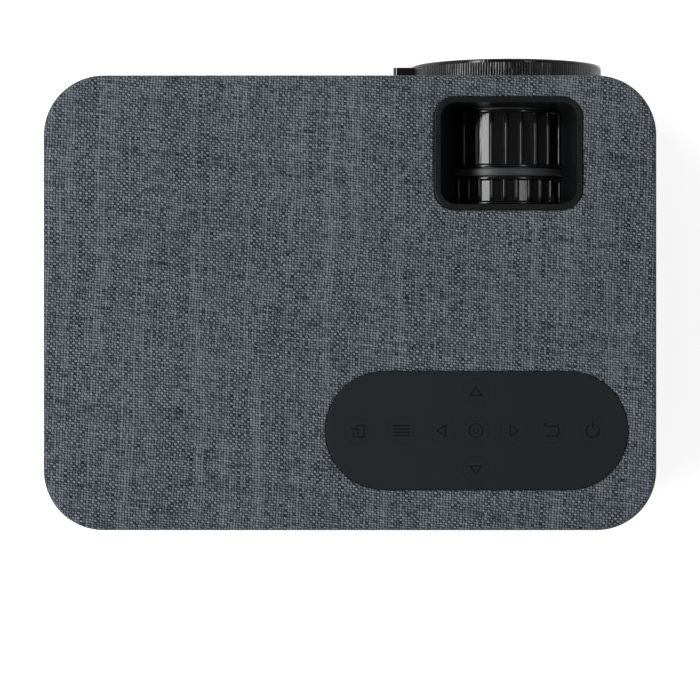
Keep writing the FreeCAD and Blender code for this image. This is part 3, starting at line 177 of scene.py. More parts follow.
def gloss_plastic(name, colour, roughness, **constants):
    """Polished black plastic with faint moulding waves and handling smears."""
    f = Finish(name, **constants)
    place = f.place()
    smear = f.noise(f.stretched(place, (1.0, 0.35, 1.0)), scale=120.0, detail=4.0, roughness=0.6)
    gloss = f.spread(smear, roughness * 0.7, roughness * 1.5, start=0.3, end=0.75)
    tone = f.blended(f.noise(place, scale=30.0), shade(colour, 0.85), shade(colour, 1.15))
    waves = f.noise(place, scale=240.0, detail=1.0, roughness=0.4)
    return f.finish(tone, gloss, f.relief(waves, 0.012 * MM, strength=0.6))


def metal(name, colour, roughness, grain_scale, depth=0.006, along=(1.0, 1.0, 1.0)):
    """Metal with a drawn, turned or rolled grain. It runs along the axis where "along" is small."""
    f = Finish(name, Metallic=1.0)
    place = f.place()
    lines = f.noise(f.stretched(place, along), grain_scale, detail=3.0, roughness=0.6)
    cloud = f.noise(place, scale=45.0, detail=3.0, roughness=0.6)
    tone = f.blended(cloud, shade(colour, 0.86), shade(colour, 1.06))
    gloss = f.spread(lines, roughness * 0.75, roughness * 1.3, start=0.3, end=0.7)
    return f.finish(tone, gloss, f.relief(lines, depth * MM))


def clear_glass(name, tint, roughness, ior, coat, coat_tint):
    """Coated lens glass with a trace of dust."""
    f = Finish(name, Transmission_Weight=1.0, IOR=ior, Coat_Weight=coat, Coat_Tint=coat_tint, Coat_Roughness=0.02)
    place = f.place()
    dust = f.noise(place, scale=900.0, detail=3.0, roughness=0.7)
    tone = f.blended(f.noise(place, scale=25.0), tint, shade(tint, 0.96))
    return f.finish(tone, f.spread(dust, roughness, roughness + 0.03, start=0.55, end=0.8))


def circuit_board():
    """Green solder mask over copper tracks that show as slightly raised lines."""
    f = Finish("circuit_board", IOR=1.5)
    place = f.place()
    rows = f.node("ShaderNodeTexBrick", offset=0.37, squash=1.6)
    f.feed(rows.inputs["Vector"], f.stretched(place, (1.0, 1.0, 0.0)))
    for key, value in (("Scale", 90.0), ("Mortar Size", 0.06), ("Brick Width", 0.9), ("Row Height", 0.22)):
        rows.inputs[key].default_value = value
    tracks = rows.outputs["Fac"]
    tone = f.blended(tracks, (0.012, 0.075, 0.03, 1.0), (0.03, 0.15, 0.06, 1.0))
    gloss = f.spread(f.noise(place, scale=300.0), 0.3, 0.45)
    return f.finish(tone, gloss, f.relief(tracks, 0.04 * MM))


# Yarns per metre along U and V of the cloth: the weft runs 7 degrees askew.
WARP_RATE = (-836.0, 24.0, 0.0)
WEFT_RATE = (106.0, 921.0, 0.0)
# Mean tone of each set of yarns. The warp gains its slubs on top.
WARP_TONE = 1.03
WEFT_TONE = 1.105
# How the threads stray: waves per metre, and the reach of the wave.
SWAYS = ((13.0, 4.0 * MM), (170.0, 0.5 * MM))
# Shades within one yarn: how far apart neighbours are drawn, how fast they change along it, and their strength.
YARN_SHADES = ((7.31, 0.05, 0.28), (3.7, 0.28, 0.48))
# Painted highlight and shade along the two diagonals of the weave, where the twisted yarns catch the light, by
# strength.
DIAGONALS = (("SUBTRACT", -0.345), ("ADD", 0.104))
# Linear colour of the cloth from the deepest gap to the brightest fibre.
CLOTH_SHADES = ((0.0, (0.0022, 0.0036, 0.0052)), (0.12, (0.0085, 0.0122, 0.0158)),
                (0.25, (0.0530, 0.0645, 0.0760)), (0.38, (0.1110, 0.1270, 0.1440)),
                (0.6, (0.162, 0.180, 0.203)), (1.0, (0.226, 0.246, 0.270)))


def linen():
    """Plain-weave melange linen. Its UV map is in metres, over the rolled edges and hems too."""
    f = Finish("deck_linen", Roughness=0.88, Sheen_Weight=0.05, Sheen_Roughness=0.45, Specular_IOR_Level=0.15)
    lean = f.node("ShaderNodeUVMap", uv_map="threads").outputs["UV"]
    for waves, reach in SWAYS:
        sway = f.node("ShaderNodeTexNoise")
        f.feed(sway.inputs["Vector"], lean)
        sway.inputs["Scale"].default_value = waves
        sway.inputs["Detail"].default_value = 2.0
        moved = f.node("ShaderNodeVectorMath", operation="MULTIPLY_ADD")
        f.feed(moved.inputs[0], sway.outputs["Color"])
        moved.inputs[1].default_value = (reach, reach, 0.0)
        f.feed(moved.inputs[2], lean)
        lean = moved.outputs[0]

    def counted(rate):
        """Running number of the yarn, with its fraction across the yarn."""
        made = f.node("ShaderNodeVectorMath", operation="DOT_PRODUCT")
        f.feed(made.inputs[0], lean)
        made.inputs[1].default_value = rate
        return made.outputs["Value"]

    def vector(*parts):
        made = f.node("ShaderNodeCombineXYZ")
        for socket, part in zip(made.inputs, parts):
            f.feed(socket, part)
        return made.outputs[0]

    u, v = counted(WARP_RATE), counted(WEFT_RATE)
    column, row = f.calc("FLOOR", u), f.calc("FLOOR", v)
    across, along = (f.calc("SINE", f.calc("MULTIPLY", f.calc("FRACT", run), math.pi)) for run in (u, v))
    parity = f.calc("MODULO", f.calc("ABSOLUTE", f.calc("ADD", column, row)), 2.0)
    weft_on_top = f.calc("GREATER_THAN", parity, 0.5)

    def yarn(index, length, salt):
        """Tone of one yarn about 1: its own shade, thick and thin places along it, and the mixed fibres in it."""
        own = f.node("ShaderNodeTexWhiteNoise", noise_dimensions="1D")
        f.feed(own.inputs["W"], f.calc("ADD", index, salt))
        pale_few = f.spread(own.outputs["Value"], 0.0, 0.34, start=0.88, end=1.0)
        tones = [f.spread(own.outputs["Value"], -0.12, 0.12), pale_few]
        for spacing, rate, strength in YARN_SHADES:
            lane = vector(f.calc("MULTIPLY", index, spacing), f.calc("MULTIPLY", length, rate), salt + spacing)
            fibre = f.noise(lane, scale=1.0, detail=2.0, roughness=0.6)
            tones.append(f.spread(fibre, -strength, strength, start=0.25, end=0.75))
        total = f.calc("ADD", tones[0], 1.0)
        for tone in tones[1:]:
            total = f.calc("ADD", total, tone)
        return total

    def yarn_height(profile, dip):
        """Round back of a yarn, a little lower where it dives under the next."""
        return f.calc("MULTIPLY", f.calc("POWER", profile, 0.8), f.spread(dip, 0.72, 1.0))

    slub = f.noise(f.stretched(lean, (1.0, 0.06, 1.0)), scale=125.0, detail=1.0, roughness=0.4)
    slub = f.spread(slub, 0.0, 0.5, start=0.52, end=0.68)
    warp = f.calc("MULTIPLY", yarn(column, v, 3.0), f.calc("ADD", slub, WARP_TONE))
    weft = f.calc("MULTIPLY", yarn(row, u, 41.0), WEFT_TONE)
    height = f.chosen(weft_on_top, yarn_height(across, along), yarn_height(along, across))
    gap_shadow = f.spread(height, 0.075, 1.0, start=0.255, end=0.94)
    level = f.calc("MULTIPLY", f.chosen(weft_on_top, warp, weft), gap_shadow)
    # Painted highlight and shade of the twisted yarns, laid over the colour along each diagonal.
    for joined, weight in DIAGONALS:
        twist_light_and_shade = f.calc("COSINE", f.calc("MULTIPLY", f.calc(joined, v, u), math.pi))
        level = f.calc("MULTIPLY", level, f.calc("MULTIPLY_ADD", twist_light_and_shade, weight, 1.0))
    crossing = f.node("ShaderNodeTexWhiteNoise", noise_dimensions="2D")
    f.feed(crossing.inputs["Vector"], vector(column, row))
    level = f.calc("MULTIPLY", level, f.spread(crossing.outputs["Value"], 0.70, 1.26))
    fibres = f.noise(vector(u, v), scale=7.0, detail=2.0, roughness=0.6)
    level = f.calc("MULTIPLY", level, f.spread(fibres, 0.8, 1.2, start=0.25, end=0.75))

    ramp = f.node("ShaderNodeValToRGB")
    f.feed(ramp.inputs[0], f.calc("DIVIDE", level, 2.0))
    elements = ramp.color_ramp.elements
    for element, (_, colour) in zip(elements, (CLOTH_SHADES[0], CLOTH_SHADES[-1])):
        element.color = colour + (1.0,)
    for position, colour in CLOTH_SHADES[1:-1]:
        elements.new(position).color = colour + (1.0,)
    weave = f.calc("ADD", height, f.calc("MULTIPLY", fibres, 0.2))
    return f.finish(ramp.outputs["Color"], None, f.relief(weave, 0.08 * MM, strength=0.6))


def streaked_plastic(name, dark, light, roughness, depth, waves, **constants):
    """Black plastic drawn along Y, so that its highlights break into short streaks. Depth is in millimetres."""
    f = Finish(name, **constants)
    cool_grey = (0.94, 0.98, 1.08)
    streaks = f.noise(f.stretched(f.place(), (1.0, 0.10, 1.0)), waves, detail=2.0, roughness=0.6)
    tone = f.blended(streaks, shade(cool_grey, dark), shade(cool_grey, light))
    gloss = f.spread(streaks, roughness * 0.6, roughness * 1.4, start=0.3, end=0.7)
    return f.finish(tone, gloss, f.relief(streaks, depth * MM))


# The finish of each material slot of the record.
FINISHES = {
    "housing_plastic": moulded_plastic("housing_plastic", (0.0095, 0.010, 0.011), 0.5, 0.45, 0.03,
                                       Specular_IOR_Level=0.36),
    "gloss_black": gloss_plastic("gloss_black", (0.006, 0.006, 0.0065), 0.09,
                                 Coat_Weight=0.6, Coat_Roughness=0.03),
    "satin_black": moulded_plastic("satin_black", (0.0085, 0.009, 0.010), 0.36, 0.25, 0.008),
    "soft_black": moulded_plastic("soft_black", (0.0105, 0.0118, 0.0138), 0.62, 0.3, 0.012, 0.06,
                                  Specular_IOR_Level=0.14),
    "deck_cloth": linen(),
    "lens_glass": clear_glass("lens_glass", (0.96, 0.98, 1.0, 1.0), 0.0, 1.52, 0.6, (0.72, 0.6, 1.0, 1.0)),
    "clear_plastic": clear_glass("clear_plastic", (0.95, 0.96, 0.96, 1.0), 0.06, 1.49, 0.0, (1.0, 1.0, 1.0, 1.0)),
    "receiver_red": gloss_plastic("receiver_red", (0.006, 0.0022, 0.003), 0.08,
                                  Coat_Weight=0.5, Coat_Roughness=0.03),
    "board_green": circuit_board(),
    "heatsink_metal": metal("heatsink_metal", (0.78, 0.79, 0.80), 0.34, 160.0, 0.01, (1.0, 1.0, 12.0)),
    "sheet_steel": metal("sheet_steel", (0.62, 0.63, 0.64), 0.32, 500.0, 0.006, (1.0, 0.06, 1.0)),
    "rod_steel": metal("rod_steel", (0.72, 0.73, 0.74), 0.16, 1200.0, 0.004, (0.05, 1.0, 1.0)),
    "dark_steel": metal("dark_steel", (0.10, 0.10, 0.105), 0.36, 900.0, 0.006),
    "insert_brass": metal("insert_brass", (0.72, 0.52, 0.22), 0.26, 1100.0, 0.006, (1.0, 1.0, 0.1)),
    "foot_rubber": moulded_plastic("foot_rubber", (0.016, 0.016, 0.0165), 0.78, 0.5, 0.04),
    "cone_paper": moulded_plastic("cone_paper", (0.022, 0.021, 0.02), 0.85, 1.1, 0.09, 0.25),
}
# Finishes of single pieces that differ from their slot's.
RING_FINISH = streaked_plastic("ring_black", 0.003, 0.006, 0.13, 0.12, 700.0, IOR=1.42)
WHEEL_FINISH = streaked_plastic("wheel_gloss", 0.004, 0.007, 0.12, 0.06, 500.0, IOR=1.41, Coat_Weight=0.05)
WELL_FINISH = moulded_plastic("well_satin", (0.0045, 0.0048, 0.0055), 0.4, 0.25, 0.008, Specular_IOR_Level=0.22)
THROAT_FINISH = moulded_plastic("throat_matt", (0.0050, 0.0052, 0.0056), 0.55, 0.25, 0.01, Specular_IOR_Level=0.2)
COLLAR_FINISH = moulded_plastic("collar_satin", (0.030, 0.031, 0.034), 0.42, 0.25, 0.008)
SIGN_FINISH = gloss_plastic("sunk_sign_gloss", (0.003, 0.003, 0.0035), 0.2)
TRAY_FINISH = moulded_plastic("tray_satin", (0.016, 0.0165, 0.0175), 0.42, 0.3, 0.015)


# ---------------------------------------------------------------- mesh helpers
def new_piece(name, mesh, finish, body, slot, *nodes):
    """Finished mesh as a piece that rides on a body and stands for the named solids."""
    piece = bpy.data.objects.new(name, mesh)
    bpy.context.scene.collection.objects.link(piece)
    mesh.materials.clear()
    mesh.materials.append(finish)
    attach(piece, body)
    if nodes:
        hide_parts(*nodes)
    return piece


def smooth_by_angle(mesh, degrees):
    """Smooth faces with the edges sharper than the angle kept crisp."""
    bm = bmesh.new()
    bm.from_mesh(mesh)
    limit = math.radians(degrees)
    for face in bm.faces:
        face.smooth = True
    for edge in bm.edges:
        edge.smooth = len(edge.link_faces) == 2 and edge.calc_face_angle(0.0) < limit
    bm.to_mesh(mesh)
    bm.free()


def polished(node, finish, slot, body, degrees, round_edge):
    """Copy of a solid with its facets shaded smooth and its crisp edges eased by so many millimetres."""
    mesh = frame["nodes"][node].data.copy()
    mesh.name = node + "_surface"
    bm = bmesh.new()
    bm.from_mesh(mesh)
    bmesh.ops.remove_doubles(bm, verts=bm.verts, dist=1e-6)
    bmesh.ops.dissolve_degenerate(bm, edges=bm.edges, dist=1e-7)
    bm.to_mesh(mesh)
    bm.free()
    if mesh.has_custom_normals:
        attribute = mesh.attributes.get("custom_normal")
        if attribute is not None:
            mesh.attributes.remove(attribute)
    smooth_by_angle(mesh, degrees)
    piece = new_piece(node + "_dressed", mesh, finish, body, slot, node)
    if round_edge:
        ease = piece.modifiers.new("eased_edges", "BEVEL")
        ease.width = round_edge * MM
        ease.segments = 2
        ease.limit_method = "ANGLE"
        ease.angle_limit = math.radians(50)


def dress(node, finish):
    """Gives a solid that stays its finish."""
    held = frame["nodes"][node]
    for held_slot in held.material_slots:
        held_slot.link = "OBJECT"
        held_slot.material = finish


def rounded_outline(width, depth, radius, center, steps):
    """Points of a rounded rectangle, each with its outward direction, counter-clockwise."""
    a, b = width / 2 - radius, depth / 2 - radius
    same_place = 1e-7
    found = []
    for px, py, start in ((a, b, 0), (-a, b, 90), (-a, -b, 180), (a, -b, 270)):
        for i in range(steps + 1):
            t = math.radians(start + 90.0 * i / steps)
            outward = Vector((math.cos(t), math.sin(t), 0.0))
            point = Vector((center[0] + px, center[1] + py, 0.0)) + radius * outward
            if not found or (point - found[-1][0]).length > same_place:
                found.append((point, outward))
    if (found[0][0] - found[-1][0]).length < same_place:
        found.pop()
    return found


def ring_of(bm, outline, offset, z, along=0.0, threads=None):
    """Adds one loop of vertices at an offset from the outline. On cloth it notes where they lie laid flat."""
    verts = []
    for point, outward in outline:
        vert = bm.verts.new(point + outward * offset + Vector((0.0, 0.0, z)))
        if threads is not None:
            flat = point + outward * along
            threads[vert] = (flat.x, flat.y)
        verts.append(vert)
    return verts


def skin_rings(bm, rings):
    """Quads between loops of equal length."""
    for lower, upper in zip(rings, rings[1:]):
        for i, vert in enumerate(lower):
            after = (i + 1) % len(lower)
            bm.faces.new((vert, lower[after], upper[after], upper[i]))


def fill_between(bm, rings, facing):
    """Flat face with holes between loops that lie in one plane."""
    edges = []
    for ring in rings:
        for i, vert in enumerate(ring):
            pair = (vert, ring[(i + 1) % len(ring)])
            edges.append(bm.edges.get(pair) or bm.edges.new(pair))
    made = bmesh.ops.triangle_fill(bm, edges=edges, use_beauty=True, normal=(0.0, 0.0, facing))
    for face in made["geom"]:
        if isinstance(face, bmesh.types.BMFace):
            face.normal_update()
            if face.normal.z * facing < 0.0:
                face.normal_flip()


def closed_mesh(bm, name, degrees=None):
    """Mesh with its normals outward, and shaded smooth up to an angle where one is given."""
    bmesh.ops.recalc_face_normals(bm, faces=bm.faces)
    mesh = bpy.data.meshes.new(name)
    bm.to_mesh(mesh)
    bm.free()
    if degrees is not None:
        smooth_by_angle(mesh, degrees)
    return mesh


def turned(name, profile, center, axis, steps, degrees=30.0, start=0.0):
    """Solid turned about an axis ("Y" or "Z") from (along, radius) corners; a radius of 0 ends in a pole."""
    bm = bmesh.new()
    rings = []
    for along, radius in profile:
        ring = []
        for i in range(steps if radius > 0.0 else 1):
            t = start + 2.0 * math.pi * i / steps
            a, b = radius * math.cos(t), radius * math.sin(t)
            spot = Vector((a, along, b)) if axis == "Y" else Vector((a, b, along))
            ring.append(bm.verts.new(spot + Vector(center)))
        rings.append(ring)
    pairs = list(zip(rings, rings[1:]))
    if len(rings[0]) > 1 and len(rings[-1]) > 1:
        pairs.append((rings[-1], rings[0]))
    for first, second in pairs:
        for i in range(steps):
            after = (i + 1) % steps
            if len(first) == 1:
                bm.faces.new((first[0], second[i], second[after]))
            elif len(second) == 1:
                bm.faces.new((first[i], first[after], second[0]))
            else:
                bm.faces.new((first[i], first[after], second[after], second[i]))
    return closed_mesh(bm, name, degrees)


def merged(name, *meshes):
    """One mesh with the faces of all, in order."""
    bm = bmesh.new()
    for mesh in meshes:
        bm.from_mesh(mesh)
    mesh = bpy.data.meshes.new(name)
    bm.to_mesh(mesh)
    bm.free()
    return mesh


# ---------------------------------------------------------------- repeats by geometry nodes
def around_axis():
    """Tree that copies its own mesh, turned in equal steps about a Y axis through a centre."""
    tree = bpy.data.node_groups.new("around_axis", "GeometryNodeTree")
    face = tree.interface
    for title, kind in (("Geometry", "Geometry"), ("Count", "Int"), ("Turn", "Float"), ("Start", "Float"),
                        ("Centre", "Vector"), ("Finish", "Material")):
        face.new_socket(title, in_out="INPUT", socket_type="NodeSocket" + kind)
    face.new_socket("Geometry", in_out="OUTPUT", socket_type="NodeSocketGeometry")
    add, link = tree.nodes.new, tree.links.new
    given, result = add("NodeGroupInput"), add("NodeGroupOutput")
    points, index = add("GeometryNodePoints"), add("GeometryNodeInputIndex")
    copies, realize, coat = (add("GeometryNode" + kind)
                             for kind in ("InstanceOnPoints", "RealizeInstances", "SetMaterial"))
    angle, euler = add("ShaderNodeMath"), add("ShaderNodeCombineXYZ")
    angle.operation = "MULTIPLY_ADD"
    link(given.outputs["Count"], points.inputs["Count"])
    link(given.outputs["Centre"], points.inputs["Position"])
    link(index.outputs[0], angle.inputs[0])
    link(given.outputs["Turn"], angle.inputs[1])
    link(given.outputs["Start"], angle.inputs[2])
    link(angle.outputs[0], euler.inputs["Y"])
    link(euler.outputs[0], copies.inputs["Rotation"])
    link(points.outputs[0], copies.inputs["Points"])
    link(given.outputs["Geometry"], copies.inputs["Instance"])
    link(copies.outputs[0], realize.inputs[0])
    link(realize.outputs[0], coat.inputs["Geometry"])
    link(given.outputs["Finish"], coat.inputs["Material"])
    link(coat.outputs[0], result.inputs["Geometry"])
    return tree


AROUND_AXIS = around_axis()


def repeated(mesh, **inputs):
    """Mesh of all the copies of one mesh about a Y axis."""
    carrier = bpy.data.objects.new("repeat_carrier", mesh)
    bpy.context.scene.collection.objects.link(carrier)
    modifier = carrier.modifiers.new("repeat", "NODES")
    modifier.node_group = AROUND_AXIS
    for item in AROUND_AXIS.interface.items_tree:
        if item.in_out == "INPUT" and item.name in inputs:
            modifier[item.identifier] = inputs[item.name]
    carrier.update_tag()
    bpy.context.view_layer.update()
    made = bpy.data.meshes.new_from_object(carrier.evaluated_get(bpy.context.evaluated_depsgraph_get()))
    carrier.modifiers.remove(modifier)
    bpy.data.objects.remove(carrier)
    return made


# ---------------------------------------------------------------- cloth cover
CLOTH_THICKNESS = 1.0 * MM
CLOTH_ROLL = 2.5 * MM
DECK_CORNER = 25.5 * MM
WELL_CORNER = 9.15 * MM
OPENING_GAP = 0.3 * MM
PANEL_TRIM = Vector((1.5 * MM, 0.9 * MM, 0.0))
# Section of the cloth's edge at an opening, in millimetres: away from the opening, then up from the deck.
TUCK = ((2.2, 0.0), (1.1, -0.02), (0.6, -0.10), (0.25, -0.26), (0.06, -0.48), (0.0, -0.72), (0.0, -1.0),
        (2.2, -1.0))


def panel_size():
    """Outer size of the key panel as it is seen, a hair inside its solid."""
    low, high = extent("key_panel")
    return high - low - PANEL_TRIM


def cloth_cover():
    """Linen glued over the deck: rolled over its edge to a hem, and tucked down round both openings."""
    low, high = extent("fabric_skin")
    size, center = high - low, (low + high) / 2
    top, hem, thick, roll, lap = high.z, low.z, CLOTH_THICKNESS, CLOTH_ROLL, 0.7 * MM
    quarter_turn = [math.radians(15.0 * i) for i in range(7)]
    bm = bmesh.new()
    threads = {}
    edge = rounded_outline(size.x, size.y, DECK_CORNER, center, 20)
    profile = [(-roll - lap, top)]
    profile += [(roll * (math.sin(t) - 1.0), top - roll + roll * math.cos(t)) for t in quarter_turn]
    profile += [(0.0, hem + 2.5 * MM), (0.0, hem + 0.5 * MM), (-0.16 * MM, hem + 0.14 * MM), (-0.5 * MM, hem),
                (-0.84 * MM, hem + 0.14 * MM), (-thick, hem + 0.5 * MM)]
    profile += [((roll - thick) * math.sin(t) - roll, top - roll + (roll - thick) * math.cos(t))
                for t in reversed(quarter_turn)]
    profile.append((-roll - lap, top - thick))
    rings, run = [], profile[0][0]
    for i, (offset, z) in enumerate(profile):
        if i:
            run += math.hypot(offset - profile[i - 1][0], z - profile[i - 1][1])
        rings.append(ring_of(bm, edge, offset, z, run, threads))
    skin_rings(bm, rings)
    tops, unders = [rings[0]], [rings[-1]]
    low, high = extent("wheel_well")
    for node, size, radius in (("wheel_well", high - low, WELL_CORNER), ("key_panel", panel_size(), None)):
        width, depth = size.x + OPENING_GAP, size.y + OPENING_GAP
        hole = rounded_outline(width, depth, radius or depth / 2, middle(node), 20)
        rings, run = [], TUCK[0][0] * MM
        for i, (offset, drop) in enumerate(TUCK):
            if i:
                run -= math.hypot(offset - TUCK[i - 1][0], drop - TUCK[i - 1][1]) * MM
            rings.append(ring_of(bm, hole, offset * MM, top + drop * MM, run, threads))
        skin_rings(bm, rings)
        tops.append(rings[0])
        unders.append(rings[-1])
    fill_between(bm, tops, 1.0)
    fill_between(bm, unders, -1.0)
    bmesh.ops.recalc_face_normals(bm, faces=bm.faces)
    layer = bm.loops.layers.uv.new("threads")
    for face in bm.faces:
        for corner in face.loops:
            corner[layer].uv = threads[corner.vert]
    mesh = bpy.data.meshes.new("cloth_cover")
    bm.to_mesh(mesh)
    bm.free()
    smooth_by_angle(mesh, 40.0)
    new_piece("cloth_cover", mesh, FINISHES["deck_cloth"], "housing", "deck_cloth", "fabric_skin")


# ---------------------------------------------------------------- lens wheels and lens ring
def rib_mesh(root, peak, half_width, y0, y1, steps, sunk=0.5 * MM, ease=0.35 * MM):
    """One rounded rib that runs along Y on a rim about the Y axis, with eased ends."""
    bm = bmesh.new()
    rise = peak - root
    crown_radius = (half_width * half_width + rise * rise) / (2.0 * rise)
    rings = []
    for y, shrink in ((y0, 0.72), (y0 + ease * 0.4, 0.92), (y0 + ease, 1.0), (y1 - ease, 1.0),
                      (y1 - ease * 0.4, 0.92), (y1, 0.72)):
        ring = []
        for i in range(steps + 1):
            x = half_width * shrink * (2.0 * i / steps - 1.0)
            z = peak - crown_radius + math.sqrt(max(0.0, crown_radius * crown_radius - (x / shrink) ** 2))
            z = root + (z - root) * shrink
            ring.append(bm.verts.new((x, y, z)))
        ring.append(bm.verts.new((half_width * shrink, y, root - sunk)))
        ring.append(bm.verts.new((-half_width * shrink, y, root - sunk)))
        rings.append(ring)
    skin_rings(bm, rings)
    bm.faces.new(rings[0])
    bm.faces.new(rings[-1])
    return closed_mesh(bm, "rib", 40.0)


def eased_band(y0, y1, bore, outer, ease):
    """Profile of a hoop with its two outer edges rounded."""
    rounded = ease * 0.3
    return [(y0, bore), (y0, outer - ease), (y0 + rounded, outer - rounded), (y0 + ease, outer),
            (y1 - ease, outer), (y1 - rounded, outer - rounded), (y1, outer - ease), (y1, bore)]


WHEEL_BORE = 29.46 * MM
COLLAR_BORE = 29.4 * MM
WHEEL_FLANGE = 0.9 * MM
# Fillet of the facets at both flanges, in millimetres: away from the flange, then up from the facet.
FACET_FILLET = ((0.0, 0.5), (0.2, 0.28), (0.4, 0.1), (0.7, 0.0))


def ribbed_wheel(name, node, body, ribs, first_rib):
    """Finger wheel: flat facets with a narrow rib between each pair, held between two thin flanges on a sleeve.

    The first rib stands at so many degrees from the top.
    """
    front, rear, center, outer = round_about_y(node)
    peak, root, flange = outer - 0.25 * MM, outer - 1.3 * MM, WHEEL_FLANGE
    pitch, start = 2.0 * math.pi / ribs, math.radians(first_rib)
    parts = [turned(name + "_flange", eased_band(y0, y1, WHEEL_BORE, outer, 0.22 * MM), center, "Y", 180)
             for y0, y1 in ((front, front + flange), (rear - flange, rear))]
    y0, y1, hidden_bore = front + flange - 0.1 * MM, rear - flange + 0.1 * MM, WHEEL_BORE + 0.05 * MM
    corner = 1.0 / math.cos(pitch / 2.0)
    profile = [(y0, hidden_bore)]
    profile += [(y0 + away * MM, (root + rise * MM) * corner) for away, rise in FACET_FILLET]
    profile += [(y1 - away * MM, (root + rise * MM) * corner) for away, rise in reversed(FACET_FILLET)]
    profile.append((y1, hidden_bore))
    parts.append(turned(name + "_facets", profile, center, "Y", ribs, 5.0, math.pi / 2.0 - start))
    rib = rib_mesh(root, peak, 1.05 * MM, front + flange - 0.05 * MM, rear - flange + 0.05 * MM, steps=10)
    parts.append(repeated(rib, Count=ribs, Turn=pitch, Start=start, Centre=center, Finish=WHEEL_FINISH))
    new_piece(name, merged(name, *parts), WHEEL_FINISH, body, "gloss_black", node)


def lens_collars():
    """Retainer in front of the focus wheel and the fixed collar between both wheels."""
    front, rear, center, outer = round_about_y("lens_collars")
    bore, retainer_end, retainer_radius, collar_width = COLLAR_BORE, front + 1.4 * MM, 30.6 * MM, 3.4 * MM
    retainer = turned("retainer", [(front, bore), (front, retainer_radius - 0.2 * MM),
                                   (front + 0.2 * MM, retainer_radius), (retainer_end, retainer_radius),
                                   (retainer_end, bore)], center, "Y", 160)
    collar = turned("collar", eased_band(rear - collar_width, rear, bore, outer, 0.45 * MM), center, "Y", 180)
    new_piece("lens_collars_dressed", merged("lens_collars", retainer, collar), COLLAR_FINISH, "housing",
              "satin_black", "lens_collars")


# Section of the ring's front lip, in millimetres: back from the front, then in from the rim.
RING_LIP = ((0.9, 0.0), (0.35, 0.15), (0.08, 0.5), (0.0, 1.0), (0.0, 2.7), (0.12, 3.1), (0.7, 3.7))
RING_FLUTES = 220
THROAT_STEPS = 7
THROAT_RADIUS = 30.5 * MM
SPIGOT_RADIUS = 36.0 * MM
SPIGOT_LENGTH = 4.5 * MM


def lens_ring():
    """Ring round the lens mouth: smooth front lip, finely fluted rim, and a stepped throat."""
    y0, tail, center, outer = round_about_y("lens_ring")
    wall, lip_end, root = tail - SPIGOT_LENGTH, y0 + 1.5 * MM, outer - 0.17 * MM
    profile = [(y0 + back * MM, outer - inward * MM) for back, inward in RING_LIP]
    start, wide = profile[-1]
    for i in range(THROAT_STEPS):
        radius, inner = (wide + (THROAT_RADIUS - wide) * (i + k) / THROAT_STEPS for k in (0.0, 1.0))
        y = start + (tail - start) * (i + 1) / THROAT_STEPS
        profile += [(y - 0.15 * MM, radius), (y, radius - 0.15 * MM)]
        profile += [(y, inner + 0.12 * MM), (y + 0.12 * MM, inner)] if i < THROAT_STEPS - 1 else [(y, inner)]
    profile += [(tail, SPIGOT_RADIUS), (wall, SPIGOT_RADIUS), (wall, outer - 0.2 * MM), (wall - 0.2 * MM, outer),
                (wall - 0.7 * MM, outer), (wall - 0.8 * MM, root), (lip_end + 0.1 * MM, root), (lip_end, outer)]
    core = turned("lens_ring_core", profile, center, "Y", 240)
    pitch = 2.0 * math.pi / RING_FLUTES
    flute = rib_mesh(root, outer - 0.06 * MM, outer * math.sin(pitch / 2.0), lip_end, wall - 0.75 * MM,
                     steps=5, sunk=0.2 * MM, ease=0.1 * MM)
    rim = repeated(flute, Count=RING_FLUTES, Turn=pitch, Start=0.0, Centre=center, Finish=RING_FINISH)
    mesh = merged("lens_ring", core, rim)
    new_piece("lens_ring_dressed", mesh, RING_FINISH, "housing", "gloss_black", "lens_ring")
    mesh.materials.append(THROAT_FINISH)
    for face in mesh.polygons:
        radius = math.hypot(face.center.x - center.x, face.center.z - center.z)
        if radius < wide and face.center.y > start:
            face.material_index = 1


# ---------------------------------------------------------------- key panel
KEY_HOLE = 5.54 * MM
KEYS = ("source", "menu", "left", "select", "right", "back", "power", "up", "down")


def round_hole(center, radius, steps=48):
    """Points of a circle, each with its outward direction."""
    turns = (2.0 * math.pi * i / steps for i in range(steps))
    ways = [Vector((math.cos(t), math.sin(t), 0.0)) for t in turns]
    return [(Vector((center.x, center.y, 0.0)) + radius * way, way) for way in ways]


def key_panel():
    """Soft-touch oval with an eased edge, a flange on the cloth's edge and a skirt through the deck."""
    low, high = extent("key_panel")
    size, center, top, bottom = panel_size(), (low + high) / 2, high.z, low.z
    under, deck = top - 2.0 * MM, top - 1.3 * MM
    bm = bmesh.new()
    edge = rounded_outline(size.x, size.y, size.y / 2, center, 28)
    profile = [(-1.4, top), (-0.34, top), (-0.2, top - 0.03 * MM), (-0.06, top - 0.14 * MM),
               (0.0, top - 0.34 * MM), (0.0, deck), (-1.2, deck), (-1.2, bottom), (-2.4, bottom),
               (-2.4, under), (-3.0, under)]
    rings = [ring_of(bm, edge, offset * MM, z) for offset, z in profile]
    skin_rings(bm, rings)
    tops, unders = [rings[0]], [rings[-1]]
    for key in KEYS:
        hole = round_hole(middle("key_" + key), KEY_HOLE)
        walls = [ring_of(bm, hole, offset * MM, top + drop * MM)
                 for offset, drop in ((0.3, 0.0), (0.03, 0.0), (0.0, -0.03), (0.0, -2.0), (0.3, -2.0))]
        skin_rings(bm, walls)
        tops.append(walls[0])
        unders.append(walls[-1])
    fill_between(bm, tops, 1.0)
    fill_between(bm, unders, -1.0)
    new_piece("key_panel_dressed", closed_mesh(bm, "key_panel", 35.0), FINISHES["soft_black"], "housing",
              "soft_black", "key_panel")


SIGN_LINE = 0.56 * MM
SIGN_DEPTH = 0.24 * MM
SHARPEST_MITRE = 0.35


